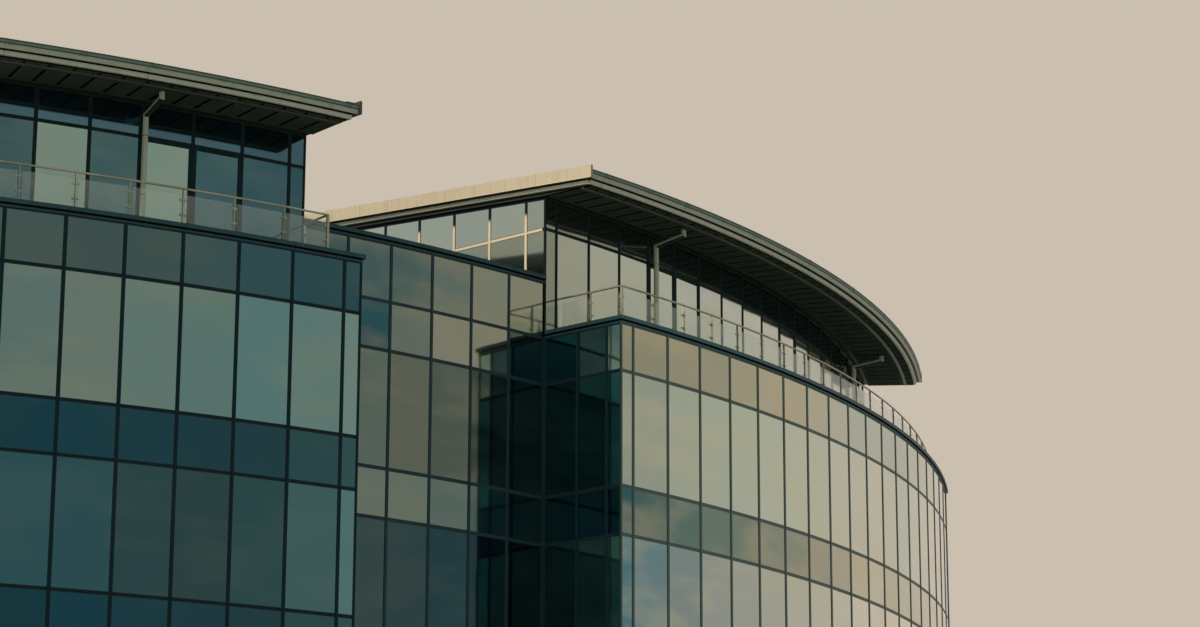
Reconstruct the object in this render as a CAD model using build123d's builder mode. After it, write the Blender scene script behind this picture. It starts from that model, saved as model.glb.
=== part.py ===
from build123d import *
import os
from math import cos, radians, sin

# A curved glass office building: five storeys of curtain wall on a ring-shaped plan,
# a recess between two wings, and a set-back top storey on each wing under a sloping roof.
# Millimetres, +Z up, ground at z = 0. Every curved wall is centred on one vertical axis, and
# plan angles are in degrees from the middle of the plan, positive towards the right wing.
# The walls are flat glass bays, so each curve turns at the mullions only.

# Plan
FRONT_RADIUS = 38400.0
BUILDING_DEPTH = 13685.0
RECESS_DEPTH = 2270.0
BACK_TERRACE = 2270.0
ORIGIN_DEPTH = 6900.0
BAY_ANGLE = 1.79
CORNER_ANGLE = 0.62
LEFT_BAYS = 7
RECESS_BAYS = 6
RIGHT_BAYS = 18
BACK_BAYS_JOINED = 2
SIDE_BAY = 1135.0
SIDE_CORNER = 600.0
RETURN_FIRST = 430.0
RETURN_SECOND = 1292.0

# Heights
PLINTH = 150.0
STOREY = 3600.0
STOREYS = 5
VISION = 2540.0
PARAPET = 1345.0
SLAB = 300.0
TOP_TRANSOM = 2540.0
EAVES_HEIGHT = 3284.0
SOFFIT_FALL = 22.0

# Curtain wall
WALL = 140.0
MULLION_DEPTH = 12.0
MULLION = 66.0
CORNER_LEG = 45.0
CORNER_TURN = 45.0
TRANSOM = 60.0
TOP_RAIL = 25.0
GLASS_SET = 5.0
GLASS = 30.0
PARTY_WALL = 300.0
FIT = 0.4
TOP_CLEAR = 3.0

# Copings
COPING_LOW = 70.0
COPING_LOW_OUT = 5.0
COPING_HIGH = 90.0
COPING_OUT = 50.0
COPING_GROOVE = 22.0
COPING_GROOVE_SET = 20.0
KERB = 300.0
PARAPET_CAP = 190.0

# Roofs
ROOF_SLOPE = 0.065
GUTTER_OVERHANG = 1655.0
GUTTER_WIDTH = 225.0
GUTTER_HEIGHT = 182.0
GUTTER_LEAN = 80.0
GUTTER_TOP = 3548.0
GUTTER_RIB = 8.0
STRIP_GAP = 20.0
STRIP_HEIGHT = 84.0
STRIP_SET = 150.0
STRIP_LEAN = 12.0
BACK_OVERHANG = 1000.0
VERGE_OUT = 305.0
VERGE_BOX = 230.0
VERGE_LIP = 50.0
VERGE_CLEAR = 1.5
VERGE_UP = 92.0
VERGE_HEIGHT = 286.0
VERGE_STRIP_SET = 150.0
VERGE_STRIP_HEIGHT = 101.0
TRIM_SET = 245.0
TRIM_WIDTH = 80.0
TRIM_DEPTH = 35.0

# Balustrades
RAIL_SET = 465.0
RAIL_HEIGHT = 1010.0
RAIL_TUBE = 22.0
RAIL_SIDE = 555.0
POST_ANGLE = 1.68
LEFT_FIRST_POST = 1.56
POST = 50.0
POST_FLAT = 16.0
PANEL = 12.0
PANEL_LOW = 110.0
PANEL_HIGH = 880.0
PANEL_GAP = 45.0
CLAMP = 26.0
CLAMP_HEIGHT = 45.0
CLAMP_LOW = 448.0
CLAMP_HIGH = 752.0

# Rainwater pipes
PIPE = 60.0
PIPE_OFF_WALL = 95.0
PIPE_OUTLET_SET = 315.0
PIPE_ARM_DROP = 150.0
PIPE_OUTLET_DROP = 150.0
LEFT_PIPE_BAYS = 3.33
RIGHT_PIPE_BAYS = (3.52, 15.6)

# Radii, levels and angles that follow from these
RECESS_RADIUS = FRONT_RADIUS - RECESS_DEPTH
BACK_RADIUS = FRONT_RADIUS - BUILDING_DEPTH
TOP_BACK_RADIUS = BACK_RADIUS + BACK_TERRACE
ORIGIN_RADIUS = FRONT_RADIUS - ORIGIN_DEPTH
GUTTER_RADIUS = RECESS_RADIUS + GUTTER_OVERHANG
EAVES_NOSE = GUTTER_RADIUS - GUTTER_WIDTH
ROOF_BACK_RADIUS = TOP_BACK_RADIUS - BACK_OVERHANG
TRIM_RADIUS = EAVES_NOSE - TRIM_SET
RAIL_RADIUS = FRONT_RADIUS - RAIL_SET
PIPE_OUTLET_RADIUS = TRIM_RADIUS - PIPE_OUTLET_SET
TERRACE = PLINTH + STOREYS * STOREY
EAVES = TERRACE + EAVES_HEIGHT
ROOF_EDGE = TERRACE + GUTTER_TOP
PARAPET_TOP = TERRACE + PARAPET
TOTAL_ANGLE = (LEFT_BAYS + RECESS_BAYS + RIGHT_BAYS) * BAY_ANGLE + 3 * CORNER_ANGLE
LEFT_END = -TOTAL_ANGLE / 2
LEFT_CORNER = LEFT_END + LEFT_BAYS * BAY_ANGLE + CORNER_ANGLE
RIGHT_CORNER = LEFT_CORNER + RECESS_BAYS * BAY_ANGLE
RIGHT_END = -LEFT_END
CENTRE = Vector(0, ORIGIN_RADIUS, 0)
CENTRE_AXIS = Axis(CENTRE, (0, 0, 1))

os.makedirs("parts", exist_ok=True)


def outward(angle):
    """Unit vector from the centre of the curve towards a plan angle."""
    return Vector(sin(radians(angle)), -cos(radians(angle)), 0)


def spot(radius, angle):
    """Point of the plan at a radius and a plan angle."""
    return CENTRE + outward(angle) * radius


def turn(width, radius):
    """Plan angle, in degrees, that a width spans at a radius."""
    return width / radius / radians(1)


def arc_spots(radius, first, step, count):
    """Points at equal angles on one radius."""
    return [spot(radius, first + step * k) for k in range(count)]


def side_spots(angle, first, step, count):
    """Points at equal steps inwards on one radial wall."""
    return [spot(first - step * k, angle) for k in range(count)]


def inward(start, end):
    """Inward normal of one side of an outline that runs anticlockwise."""
    along = (end - start).normalized()
    return Vector(-along.Y, along.X, 0)


def moved_in(outline, depths):
    """The closed outline with side k, from point k to the next, moved inwards by depths[k]."""
    moved = []
    for k, corner in enumerate(outline):
        before = inward(outline[k - 1], corner)
        after = inward(corner, outline[(k + 1) % len(outline)])
        first, second, share = depths[k - 1], depths[k], before.dot(after)
        if first == second:
            step = (before + after) * (first / (1 + share))
        else:
            step = before * (first - second * share) + after * (second - first * share)
            step = step * (1 / (1 - share * share))
        moved.append(corner + step)
    return moved


def level(height):
    """Horizontal sketch plane at a height."""
    return Plane(origin=(0, 0, height))


def section(angle):
    """Upright sketch plane through the centre axis: its x is the radius, its y the height."""
    return Plane(origin=CENTRE, x_dir=outward(angle), z_dir=outward(angle).cross(Vector(0, 0, 1)))


def outline_face(points, mode=Mode.ADD):
    """Closed face through the points, in the sketch that is being drawn."""
    with BuildLine() as edge:
        Polyline(*[(p.X, p.Y) for p in points], close=True)
    make_face(edge.edges(), mode=mode)


def section_face(profile):
    """Closed face through points of radius and height, in the sketch that is being drawn."""
    with BuildLine() as edge:
        Polyline(*profile, close=True)
    make_face(edge.edges())


def prisms(outlines, low, high):
    """Upright block on each outline between two levels, joined to the part being built."""
    with BuildSketch(level(low)) as footprint:
        for points in outlines:
            outline_face(points)
    extrude(footprint.sketch, amount=high - low)


def prism(points, low, high):
    """Upright block on one outline between two levels, joined to the part being built."""
    prisms([points], low, high)


def strip(plan, first, last, out_depth, in_depth):
    """Plan of the band between two depths along the points first to last of a wall plan."""
    outer, inner = plan(out_depth), plan(in_depth)
    return outer[first : last + 1] + inner[first : last + 1][::-1]


def post(plan, k, legs=(1, 1)):
    """Plan of the bar at point k: a leg along each side that it has, longer at a corner."""
    outer, inner = plan(0), plan(MULLION_DEPTH)
    before, at, after = outer[k - 1], outer[k], outer[(k + 1) % len(outer)]
    in_back = inward(before, at) * MULLION_DEPTH
    in_ahead = inward(at, after) * MULLION_DEPTH
    in_line = in_back.get_angle(in_ahead) < CORNER_TURN
    reach = MULLION / 2 if in_line else CORNER_LEG
    back = (before - at).normalized() * reach
    ahead = (after - at).normalized() * reach
    face = [at + back] * legs[0] + [at] + [at + ahead] * legs[1]
    rear = [at + ahead + in_ahead] * legs[1] + [inner[k]] + [at + back + in_back] * legs[0]
    return face + rear


# Plans of the walls. Each wall plan is a function from a depth to its points at that depth.
left_points = arc_spots(FRONT_RADIUS, LEFT_END, BAY_ANGLE, LEFT_BAYS + 1)
left_points.append(spot(FRONT_RADIUS, LEFT_CORNER))
return_radii = [FRONT_RADIUS - RETURN_FIRST, FRONT_RADIUS - RETURN_SECOND]
left_return = [spot(radius, LEFT_CORNER) for radius in return_radii]
recess_points = arc_spots(RECESS_RADIUS, LEFT_CORNER, BAY_ANGLE, RECESS_BAYS + 1)
right_return = [spot(radius, RIGHT_CORNER) for radius in return_radii[::-1]]
right_points = [spot(FRONT_RADIUS, RIGHT_CORNER)]
right_points += arc_spots(FRONT_RADIUS, RIGHT_CORNER + CORNER_ANGLE, BAY_ANGLE, RIGHT_BAYS + 1)
right_points.append(spot(FRONT_RADIUS, RIGHT_END))
end_count = int((FRONT_RADIUS - SIDE_CORNER - BACK_RADIUS) / SIDE_BAY + 0.5)
end_points = side_spots(RIGHT_END, FRONT_RADIUS - SIDE_CORNER, SIDE_BAY, end_count)
back_step = BACK_BAYS_JOINED * BAY_ANGLE
back_count = (LEFT_BAYS + RECESS_BAYS + RIGHT_BAYS) // BACK_BAYS_JOINED
back_points = [spot(BACK_RADIUS, RIGHT_END)]
back_points += arc_spots(BACK_RADIUS, RIGHT_END - 1.5 * CORNER_ANGLE, -back_step, back_count + 1)
back_points.append(spot(BACK_RADIUS, LEFT_END))

main_outline = left_points + left_return + recess_points + right_return
main_outline += right_points + end_points + back_points
LEFT_LAST = len(left_points) - 1
RECESS_FIRST = LEFT_LAST + len(left_return) + 1
RECESS_LAST = RECESS_FIRST + RECESS_BAYS
RIGHT_FIRST = RECESS_LAST + len(right_return) + 1
RIGHT_LAST = RIGHT_FIRST + len(right_points) - 1
BACK_FIRST = RIGHT_LAST + len(end_points) + 1
BACK_LAST = len(main_outline) - 1


def main_plan(depth, party=0.0):
    """Outline of the five storeys at a depth, with its party side at a depth of its own."""
    return moved_in(main_outline, [depth] * BACK_LAST + [party])


def top_plan(points, party=0.0, has_party=False):
    """Wall plan of a top storey from its outline."""

    def at_depth(depth):
        last = party if has_party else depth
        return moved_in(points, [depth] * (len(points) - 1) + [last])

    return at_depth


side_count = int((RECESS_RADIUS - SIDE_CORNER - TOP_BACK_RADIUS) / SIDE_BAY + 0.5)


def top_side(angle):
    """Points between the corners of a top storey's side wall, from the front to the back."""
    return side_spots(angle, RECESS_RADIUS - SIDE_CORNER, SIDE_BAY, side_count)


top_left_outline = arc_spots(RECESS_RADIUS, LEFT_END, BAY_ANGLE, LEFT_BAYS + 1)
top_left_outline.append(spot(RECESS_RADIUS, LEFT_CORNER))
TOP_LEFT_CORNER = len(top_left_outline) - 1
top_left_outline += top_side(LEFT_CORNER)
top_left_outline.append(spot(TOP_BACK_RADIUS, LEFT_CORNER))
TOP_LEFT_BACK = len(top_left_outline) - 1
left_back_count = (LEFT_BAYS + 1) // BACK_BAYS_JOINED
top_left_outline += arc_spots(TOP_BACK_RADIUS, LEFT_CORNER - CORNER_ANGLE, -back_step, left_back_count)
top_left_outline.append(spot(TOP_BACK_RADIUS, LEFT_END))
top_left = top_plan(top_left_outline, has_party=True)

top_right_outline = [spot(RECESS_RADIUS, RIGHT_CORNER)]
top_right_outline += arc_spots(RECESS_RADIUS, RIGHT_CORNER + CORNER_ANGLE, BAY_ANGLE, RIGHT_BAYS + 1)
top_right_outline.append(spot(RECESS_RADIUS, RIGHT_END))
top_right_outline += top_side(RIGHT_END)
top_right_outline.append(spot(TOP_BACK_RADIUS, RIGHT_END))
right_back_count = RIGHT_BAYS // BACK_BAYS_JOINED
top_right_outline += arc_spots(
    TOP_BACK_RADIUS, RIGHT_END - CORNER_ANGLE, -back_step, right_back_count + 1
)
top_right_outline.append(spot(TOP_BACK_RADIUS, RIGHT_CORNER))
top_right_outline += top_side(RIGHT_CORNER)[::-1]
top_right = top_plan(top_right_outline)


def finish(builder, name):
    """Label a finished piece and write it."""
    builder.part.label = name
    export_step(builder.part, f"parts/{name}.step")


# Floors: the ground slab is the plinth that the walls stand on, the others stop behind them
with BuildPart() as ground_slab:
    prism(main_outline, 0, PLINTH)
finish(ground_slab, "ground_slab")

for storey in range(1, STOREYS + 1):
    name = "terrace_slab" if storey == STOREYS else f"floor_slab_{storey}"
    top = PLINTH + storey * STOREY
    with BuildPart() as floor_slab:
        prism(main_plan(WALL, PARTY_WALL), top - SLAB, top)
    finish(floor_slab, name)


# Rows of the curtain wall, from the plinth to the terrace
def transom_rows():
    """Low and high level of each horizontal bar up to the terrace."""
    rows = [(PLINTH, PLINTH + TRANSOM)]
    for storey in range(STOREYS):
        floor = PLINTH + storey * STOREY
        if storey:
            rows.append((floor - TRANSOM / 2, floor + TRANSOM / 2))
        head = floor + VISION
        rows.append((head - TRANSOM / 2, head + TRANSOM / 2))
    return rows + [(TERRACE - TOP_RAIL, TERRACE)]


bars = transom_rows()
gaps = [(bars[k][1], bars[k + 1][0]) for k in range(len(bars) - 1)]
glass_rows, spandrel_rows = gaps[0::2], gaps[1::2]
rail_level = PARAPET_TOP - COPING_LOW
parapet_bars = [(TERRACE, TERRACE + TRANSOM / 2), (rail_level - TOP_RAIL, rail_level)]
parapet_row = (parapet_bars[0][1], parapet_bars[1][0])


def parapet_plan(depth):
    """Plan of the recess wall above the terrace, whose ends stand clear of the top storeys."""
    inner = [spot(BACK_RADIUS, RIGHT_CORNER), spot(BACK_RADIUS, LEFT_CORNER)]
    return moved_in(recess_points + inner, [depth] * RECESS_BAYS + [FIT, 0, FIT])


def wall_transoms(first, last):
    """Horizontal bars of a stretch of the main wall."""
    for low, high in bars:
        prism(strip(main_plan, first, last, MULLION_DEPTH, WALL), low, high)


def wall_glass(first, last):
    """One sheet of clear glass a storey along a stretch of the main wall."""
    front = MULLION_DEPTH + GLASS_SET
    for low, high in glass_rows:
        prism(strip(main_plan, first, last, front, front + GLASS), low, high)


def wall_spandrels(first, last):
    """One insulated opaque panel a storey along a stretch of the main wall."""
    for low, high in spandrel_rows:
        prism(strip(main_plan, first, last, MULLION_DEPTH + GLASS_SET, WALL), low, high)


def wall_mullions(first, last):
    """Upright bars of a stretch of the main wall, whose first point may be at the party side."""
    bars = []
    for k in range(first, last + 1):
        legs = (0, 1) if k == 0 else (1, 0) if k == BACK_LAST else (1, 1)
        bars.append(post(main_plan, k, legs))
    prisms(bars, PLINTH, TERRACE)


with BuildPart() as left_front_mullions:
    wall_mullions(0, LEFT_LAST)
finish(left_front_mullions, "left_front_mullions")

with BuildPart() as left_front_transoms:
    wall_transoms(0, LEFT_LAST)
finish(left_front_transoms, "left_front_transoms")

with BuildPart() as left_front_glass:
    wall_glass(0, LEFT_LAST)
finish(left_front_glass, "left_front_glass")

with BuildPart() as left_front_spandrels:
    wall_spandrels(0, LEFT_LAST)
finish(left_front_spandrels, "left_front_spandrels")

with BuildPart() as right_front_mullions:
    wall_mullions(RIGHT_FIRST, RIGHT_LAST)
finish(right_front_mullions, "right_front_mullions")

with BuildPart() as right_front_transoms:
    wall_transoms(RIGHT_FIRST, RIGHT_LAST)
finish(right_front_transoms, "right_front_transoms")

with BuildPart() as right_front_glass:
    wall_glass(RIGHT_FIRST, RIGHT_LAST)
finish(right_front_glass, "right_front_glass")

with BuildPart() as right_front_spandrels:
    wall_spandrels(RIGHT_FIRST, RIGHT_LAST)
finish(right_front_spandrels, "right_front_spandrels")

# The recess and the two short return walls that close its sides
with BuildPart() as recess_mullions:
    wall_mullions(LEFT_LAST + 1, RIGHT_FIRST - 1)
    parapet_posts = [post(main_plan, k) for k in range(RECESS_FIRST + 1, RECESS_LAST)]
    prisms(parapet_posts, TERRACE, rail_level)
finish(recess_mullions, "recess_mullions")

with BuildPart() as recess_transoms:
    wall_transoms(LEFT_LAST, RIGHT_FIRST)
    for low, high in parapet_bars:
        prism(strip(parapet_plan, 0, RECESS_BAYS, MULLION_DEPTH, WALL), low, high)
finish(recess_transoms, "recess_transoms")

with BuildPart() as recess_glass:
    wall_glass(LEFT_LAST, RIGHT_FIRST)
finish(recess_glass, "recess_glass")

with BuildPart() as recess_spandrels:
    wall_spandrels(LEFT_LAST, RIGHT_FIRST)
    prism(strip(parapet_plan, 0, RECESS_BAYS, MULLION_DEPTH + GLASS_SET, WALL), *parapet_row)
finish(recess_spandrels, "recess_spandrels")

# The right end wall and the back wall
with BuildPart() as rear_mullions:
    wall_mullions(RIGHT_LAST + 1, BACK_LAST)
finish(rear_mullions, "rear_mullions")

with BuildPart() as rear_transoms:
    wall_transoms(RIGHT_LAST, BACK_LAST)
finish(rear_transoms, "rear_transoms")

with BuildPart() as rear_glass:
    wall_glass(RIGHT_LAST, BACK_LAST)
finish(rear_glass, "rear_glass")

with BuildPart() as rear_spandrels:
    wall_spandrels(RIGHT_LAST, BACK_LAST)
finish(rear_spandrels, "rear_spandrels")


# Copings: a low band, a shadow groove and a wider band, with a kerb leg on the slab
def coping(plan, first, last, base, inner):
    """Coping along a stretch of wall, on top of it at the base level."""
    groove = base + COPING_LOW - COPING_GROOVE
    top = base + COPING_LOW
    prism(strip(plan, first, last, -COPING_LOW_OUT, inner), base, groove)
    prism(strip(plan, first, last, COPING_GROOVE_SET, inner), groove, top)
    prism(strip(plan, first, last, -COPING_OUT, inner), top, top + COPING_HIGH)


def clear_of_top(angle, radius_low, radius_high):
    """Cut the coping away where a top storey's wall stands on the same line."""
    low, high = spot(radius_low, angle), spot(radius_high, angle)
    side = outward(angle).cross(Vector(0, 0, 1)) * KERB * 2
    with BuildSketch(level(TERRACE - KERB)) as stretch:
        outline_face([low + side, high + side, high - side, low - side])
    extrude(stretch.sketch, amount=KERB * 3, mode=Mode.SUBTRACT)


with BuildPart() as left_coping:
    coping(main_plan, 0, LEFT_LAST + 3, TERRACE, KERB)
    clear_of_top(LEFT_CORNER, BACK_RADIUS, RECESS_RADIUS + TOP_CLEAR)
finish(left_coping, "left_coping")

with BuildPart() as right_coping:
    coping(main_plan, RECESS_LAST, BACK_FIRST - 1, TERRACE, KERB)
    clear_of_top(RIGHT_CORNER, BACK_RADIUS, RECESS_RADIUS + TOP_CLEAR)
    clear_of_top(RIGHT_END, BACK_RADIUS, RECESS_RADIUS + TOP_CLEAR)
finish(right_coping, "right_coping")

with BuildPart() as back_coping:
    coping(main_plan, RIGHT_LAST, BACK_LAST, TERRACE, KERB)
    clear_of_top(RIGHT_END, TOP_BACK_RADIUS - TOP_CLEAR, FRONT_RADIUS + KERB)
finish(back_coping, "back_coping")

with BuildPart() as recess_coping:
    coping(parapet_plan, 0, RECESS_BAYS, rail_level, PARAPET_CAP)
finish(recess_coping, "recess_coping")


# Roofs: straight in section, turned about the centre axis of the plan
def underside(radius):
    """Height of the roof's underside over the rooms."""
    return EAVES + ROOF_SLOPE * (RECESS_RADIUS - radius)


def roof_top(radius):
    """Height of the roof's upper face."""
    return ROOF_EDGE + ROOF_SLOPE * (GUTTER_RADIUS - radius)


def soffit(radius):
    """Height of the roof's underside outside the top storey's front."""
    return EAVES - SOFFIT_FALL * (radius - RECESS_RADIUS) / (EAVES_NOSE - RECESS_RADIUS)


def turned(profile, first, last, mode=Mode.ADD):
    """Turn a closed profile of radius and height points about the centre, between two angles."""
    with BuildSketch(section(first)) as shape:
        section_face(profile)
    revolve(shape.sketch, axis=CENTRE_AXIS, revolution_arc=last - first, mode=mode)


def over_roof(drop):
    """Everything above a face that lies a drop below the roof's underside."""
    inner, outer, sky = BACK_RADIUS, FRONT_RADIUS, EAVES + STOREY
    return [
        (inner, underside(inner) - drop),
        (outer, underside(outer) - drop),
        (outer, sky),
        (inner, sky),
    ]


def under_roof(drop):
    """Everything between the terrace and a face that lies a drop below the roof's underside."""
    inner, outer = BACK_RADIUS, FRONT_RADIUS
    return [
        (inner, underside(inner) - drop),
        (outer, underside(outer) - drop),
        (outer, TERRACE),
        (inner, TERRACE),
    ]


with BuildPart() as roof_space:
    turned(over_roof(FIT), LEFT_END - BAY_ANGLE, RIGHT_END + BAY_ANGLE)

with BuildPart() as head_space:
    turned(under_roof(FIT + TRANSOM), LEFT_END - BAY_ANGLE, RIGHT_END + BAY_ANGLE)

with BuildPart() as over_head_space:
    turned(over_roof(FIT + TRANSOM), LEFT_END - BAY_ANGLE, RIGHT_END + BAY_ANGLE)

# Party wall: up to the terrace, and on up beside the left top storey to its roof
with BuildPart() as party_wall:
    outer, inner = main_plan(WALL), main_plan(WALL, PARTY_WALL)
    prism([outer[-1], outer[0], inner[0], inner[-1]], PLINTH, TERRACE)
    outer = top_plan(top_left_outline, 0, True)(WALL)
    inner = top_plan(top_left_outline, PARTY_WALL, True)(WALL)
    prism([outer[-1], outer[0], inner[0], inner[-1]], TERRACE, EAVES + STOREY / 2)
    add(roof_space.part, mode=Mode.SUBTRACT)
finish(party_wall, "party_wall")

# Top storeys: bars and glass, whose heads follow the slope of the roof
TOP_SKY = EAVES + STOREY / 2
top_bars = [
    (TERRACE, TERRACE + TRANSOM),
    (TERRACE + TOP_TRANSOM - TRANSOM / 2, TERRACE + TOP_TRANSOM + TRANSOM / 2),
]


def top_mullions(plan, count, party):
    """Upright bars around a top storey, up to its roof."""
    bars = []
    for k in range(count):
        legs = (0, 1) if party and k == 0 else (1, 0) if party and k == count - 1 else (1, 1)
        bars.append(post(plan, k, legs))
    prisms(bars, TERRACE, TOP_SKY)
    add(roof_space.part, mode=Mode.SUBTRACT)


def ring_strip(plan, count, party, out_depth, in_depth, low, high):
    """Band around a top storey: open at the party side, and closed without one."""
    if party:
        prism(strip(plan, 0, count - 1, out_depth, in_depth), low, high)
        return
    with BuildSketch(level(low)) as ring:
        outline_face(plan(out_depth))
        outline_face(plan(in_depth), Mode.SUBTRACT)
    extrude(ring.sketch, amount=high - low)


def top_transoms(plan, count, party):
    """Sill and transom around a top storey."""
    for low, high in top_bars:
        ring_strip(plan, count, party, MULLION_DEPTH, WALL, low, high)


def top_heads(plan, count, party):
    """Head rail around a top storey, under the slope of its roof."""
    ring_strip(plan, count, party, MULLION_DEPTH, WALL, EAVES - STOREY / 4, TOP_SKY)
    add(roof_space.part, mode=Mode.SUBTRACT)
    add(head_space.part, mode=Mode.SUBTRACT)


def top_glass(plan, count, party):
    """Sheets of glass around a top storey, below and above its transom."""
    front = MULLION_DEPTH + GLASS_SET
    rows = [(top_bars[0][1], top_bars[1][0]), (top_bars[1][1], TOP_SKY)]
    for low, high in rows:
        ring_strip(plan, count, party, front, front + GLASS, low, high)
    add(over_head_space.part, mode=Mode.SUBTRACT)


left_count, right_count = len(top_left_outline), len(top_right_outline)

with BuildPart() as left_top_mullions:
    top_mullions(top_left, left_count, True)
finish(left_top_mullions, "left_top_mullions")

with BuildPart() as left_top_transoms:
    top_transoms(top_left, left_count, True)
finish(left_top_transoms, "left_top_transoms")

with BuildPart() as left_top_head:
    top_heads(top_left, left_count, True)
finish(left_top_head, "left_top_head")

with BuildPart() as left_top_glass:
    top_glass(top_left, left_count, True)
finish(left_top_glass, "left_top_glass")

with BuildPart() as right_top_mullions:
    top_mullions(top_right, right_count, False)
finish(right_top_mullions, "right_top_mullions")

with BuildPart() as right_top_transoms:
    top_transoms(top_right, right_count, False)
finish(right_top_transoms, "right_top_transoms")

with BuildPart() as right_top_head:
    top_heads(top_right, right_count, False)
finish(right_top_head, "right_top_head")

with BuildPart() as right_top_glass:
    top_glass(top_right, right_count, False)
finish(right_top_glass, "right_top_glass")


# Roof decks, from the nose behind the gutter to the back edge
def deck_profile():
    """Section of a roof: a nearly level soffit in front, then one slope."""
    return [
        (EAVES_NOSE, soffit(EAVES_NOSE)),
        (RECESS_RADIUS, EAVES),
        (ROOF_BACK_RADIUS, underside(ROOF_BACK_RADIUS)),
        (ROOF_BACK_RADIUS, roof_top(ROOF_BACK_RADIUS)),
        (EAVES_NOSE, roof_top(EAVES_NOSE)),
    ]


verge_turn = turn(VERGE_OUT - VERGE_BOX, GUTTER_RADIUS)
strip_turn = turn(VERGE_OUT - VERGE_STRIP_SET, GUTTER_RADIUS)
lip_turn = turn(VERGE_OUT - VERGE_LIP, GUTTER_RADIUS)

with BuildPart() as left_roof:
    turned(deck_profile(), LEFT_END, LEFT_CORNER + verge_turn)
finish(left_roof, "left_roof")

with BuildPart() as right_roof:
    turned(deck_profile(), RIGHT_CORNER - verge_turn, RIGHT_END + verge_turn)
finish(right_roof, "right_roof")


def gutter_profile():
    """Section of the gutter fascia: a leaning face with three ribs, open trough behind left out."""
    bottom = ROOF_EDGE - GUTTER_HEIGHT
    lean = GUTTER_LEAN / GUTTER_HEIGHT
    profile = [(EAVES_NOSE + FIT, ROOF_EDGE), (EAVES_NOSE + FIT, bottom)]
    rib = GUTTER_HEIGHT / 7
    for k in range(4):
        low, high = bottom + 2 * k * rib, bottom + (2 * k + 1) * rib
        set_back = 0 if k % 2 == 0 else GUTTER_RIB
        profile.append((GUTTER_RADIUS - lean * (ROOF_EDGE - low) - set_back, low))
        profile.append((GUTTER_RADIUS - lean * (ROOF_EDGE - high) - set_back, high))
    return profile


def strip_profile():
    """Section of the pale strip below the gutter."""
    top = ROOF_EDGE - GUTTER_HEIGHT - STRIP_GAP
    face = GUTTER_RADIUS - STRIP_SET
    return [
        (EAVES_NOSE + FIT, top),
        (EAVES_NOSE + FIT, top - STRIP_HEIGHT),
        (face - STRIP_LEAN, top - STRIP_HEIGHT),
        (face, top),
    ]


def trim_profile():
    """Section of the flat trim on the soffit."""
    inner, outer = TRIM_RADIUS - TRIM_WIDTH / 2, TRIM_RADIUS + TRIM_WIDTH / 2
    return [
        (inner, soffit(inner) - FIT),
        (outer, soffit(outer) - FIT),
        (outer, soffit(outer) - FIT - TRIM_DEPTH),
        (inner, soffit(inner) - FIT - TRIM_DEPTH),
    ]


with BuildPart() as gutters:
    turned(gutter_profile(), LEFT_END, LEFT_CORNER + lip_turn)
    turned(gutter_profile(), RIGHT_CORNER - lip_turn, RIGHT_END + lip_turn)
finish(gutters, "gutters")

with BuildPart() as eaves_strips:
    turned(strip_profile(), LEFT_END, LEFT_CORNER + strip_turn)
    turned(strip_profile(), RIGHT_CORNER - strip_turn, RIGHT_END + strip_turn)
finish(eaves_strips, "eaves_strips")

with BuildPart() as soffit_trims:
    turned(trim_profile(), LEFT_END, LEFT_CORNER + verge_turn)
    turned(trim_profile(), RIGHT_CORNER - verge_turn, RIGHT_END + verge_turn)
finish(soffit_trims, "soffit_trims")


def sloping_board(high, low, front, back):
    """Section of a board along a verge, between two heights above the roof's face."""
    return [
        (back, roof_top(back) + high),
        (back, roof_top(back) + low),
        (front, roof_top(front) + low),
        (front, roof_top(front) + high),
    ]


def verge_board(angle, side):
    """Verge of a roof's cut end: a box beside the deck whose outer lip caps the gutter, and a strip.

    The side is 1 at the higher angles and -1 at the lower ones.
    """
    low, front = VERGE_UP - VERGE_HEIGHT, EAVES_NOSE - VERGE_CLEAR
    lip_plane = section(angle).offset(-side * (VERGE_BOX - VERGE_LIP))
    with BuildSketch(section(angle)) as box:
        section_face(sloping_board(VERGE_UP, low, front, ROOF_BACK_RADIUS))
    extrude(box.sketch, amount=-side * VERGE_BOX)
    with BuildSketch(lip_plane) as lip:
        section_face(sloping_board(VERGE_UP, low, GUTTER_RADIUS, ROOF_BACK_RADIUS))
    extrude(lip.sketch, amount=-side * VERGE_LIP)
    with BuildSketch(section(angle)) as lower:
        section_face(sloping_board(low, low - VERGE_STRIP_HEIGHT, front, ROOF_BACK_RADIUS))
    extrude(lower.sketch, amount=-side * (VERGE_BOX - VERGE_STRIP_SET))


with BuildPart() as verge_boards:
    verge_board(LEFT_CORNER + verge_turn + turn(FIT, GUTTER_RADIUS), 1)
    verge_board(RIGHT_CORNER - verge_turn - turn(FIT, GUTTER_RADIUS), -1)
    verge_board(RIGHT_END + verge_turn + turn(FIT, GUTTER_RADIUS), 1)
finish(verge_boards, "verge_boards")


# Balustrades on the two front terraces
side_turn = turn(RAIL_SIDE, RAIL_RADIUS)
left_first, left_last = LEFT_END + turn(POST, RAIL_RADIUS), LEFT_CORNER - side_turn
right_first, right_last = RIGHT_CORNER + side_turn, RIGHT_END - side_turn


def post_angles(first, last):
    """Angles of the posts from one end of a balustrade to the other."""
    count = int((last - first) / POST_ANGLE - 0.3)
    return [first + POST_ANGLE * k for k in range(count + 1)] + [last]


left_posts = [-a for a in post_angles(LEFT_FIRST_POST - left_last, -left_first)][::-1] + [left_last]
right_posts = post_angles(right_first, right_last)
return_post_radius = (RAIL_RADIUS + RECESS_RADIUS) / 2


rail_z = Vector(0, 0, TERRACE + RAIL_HEIGHT)


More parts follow.
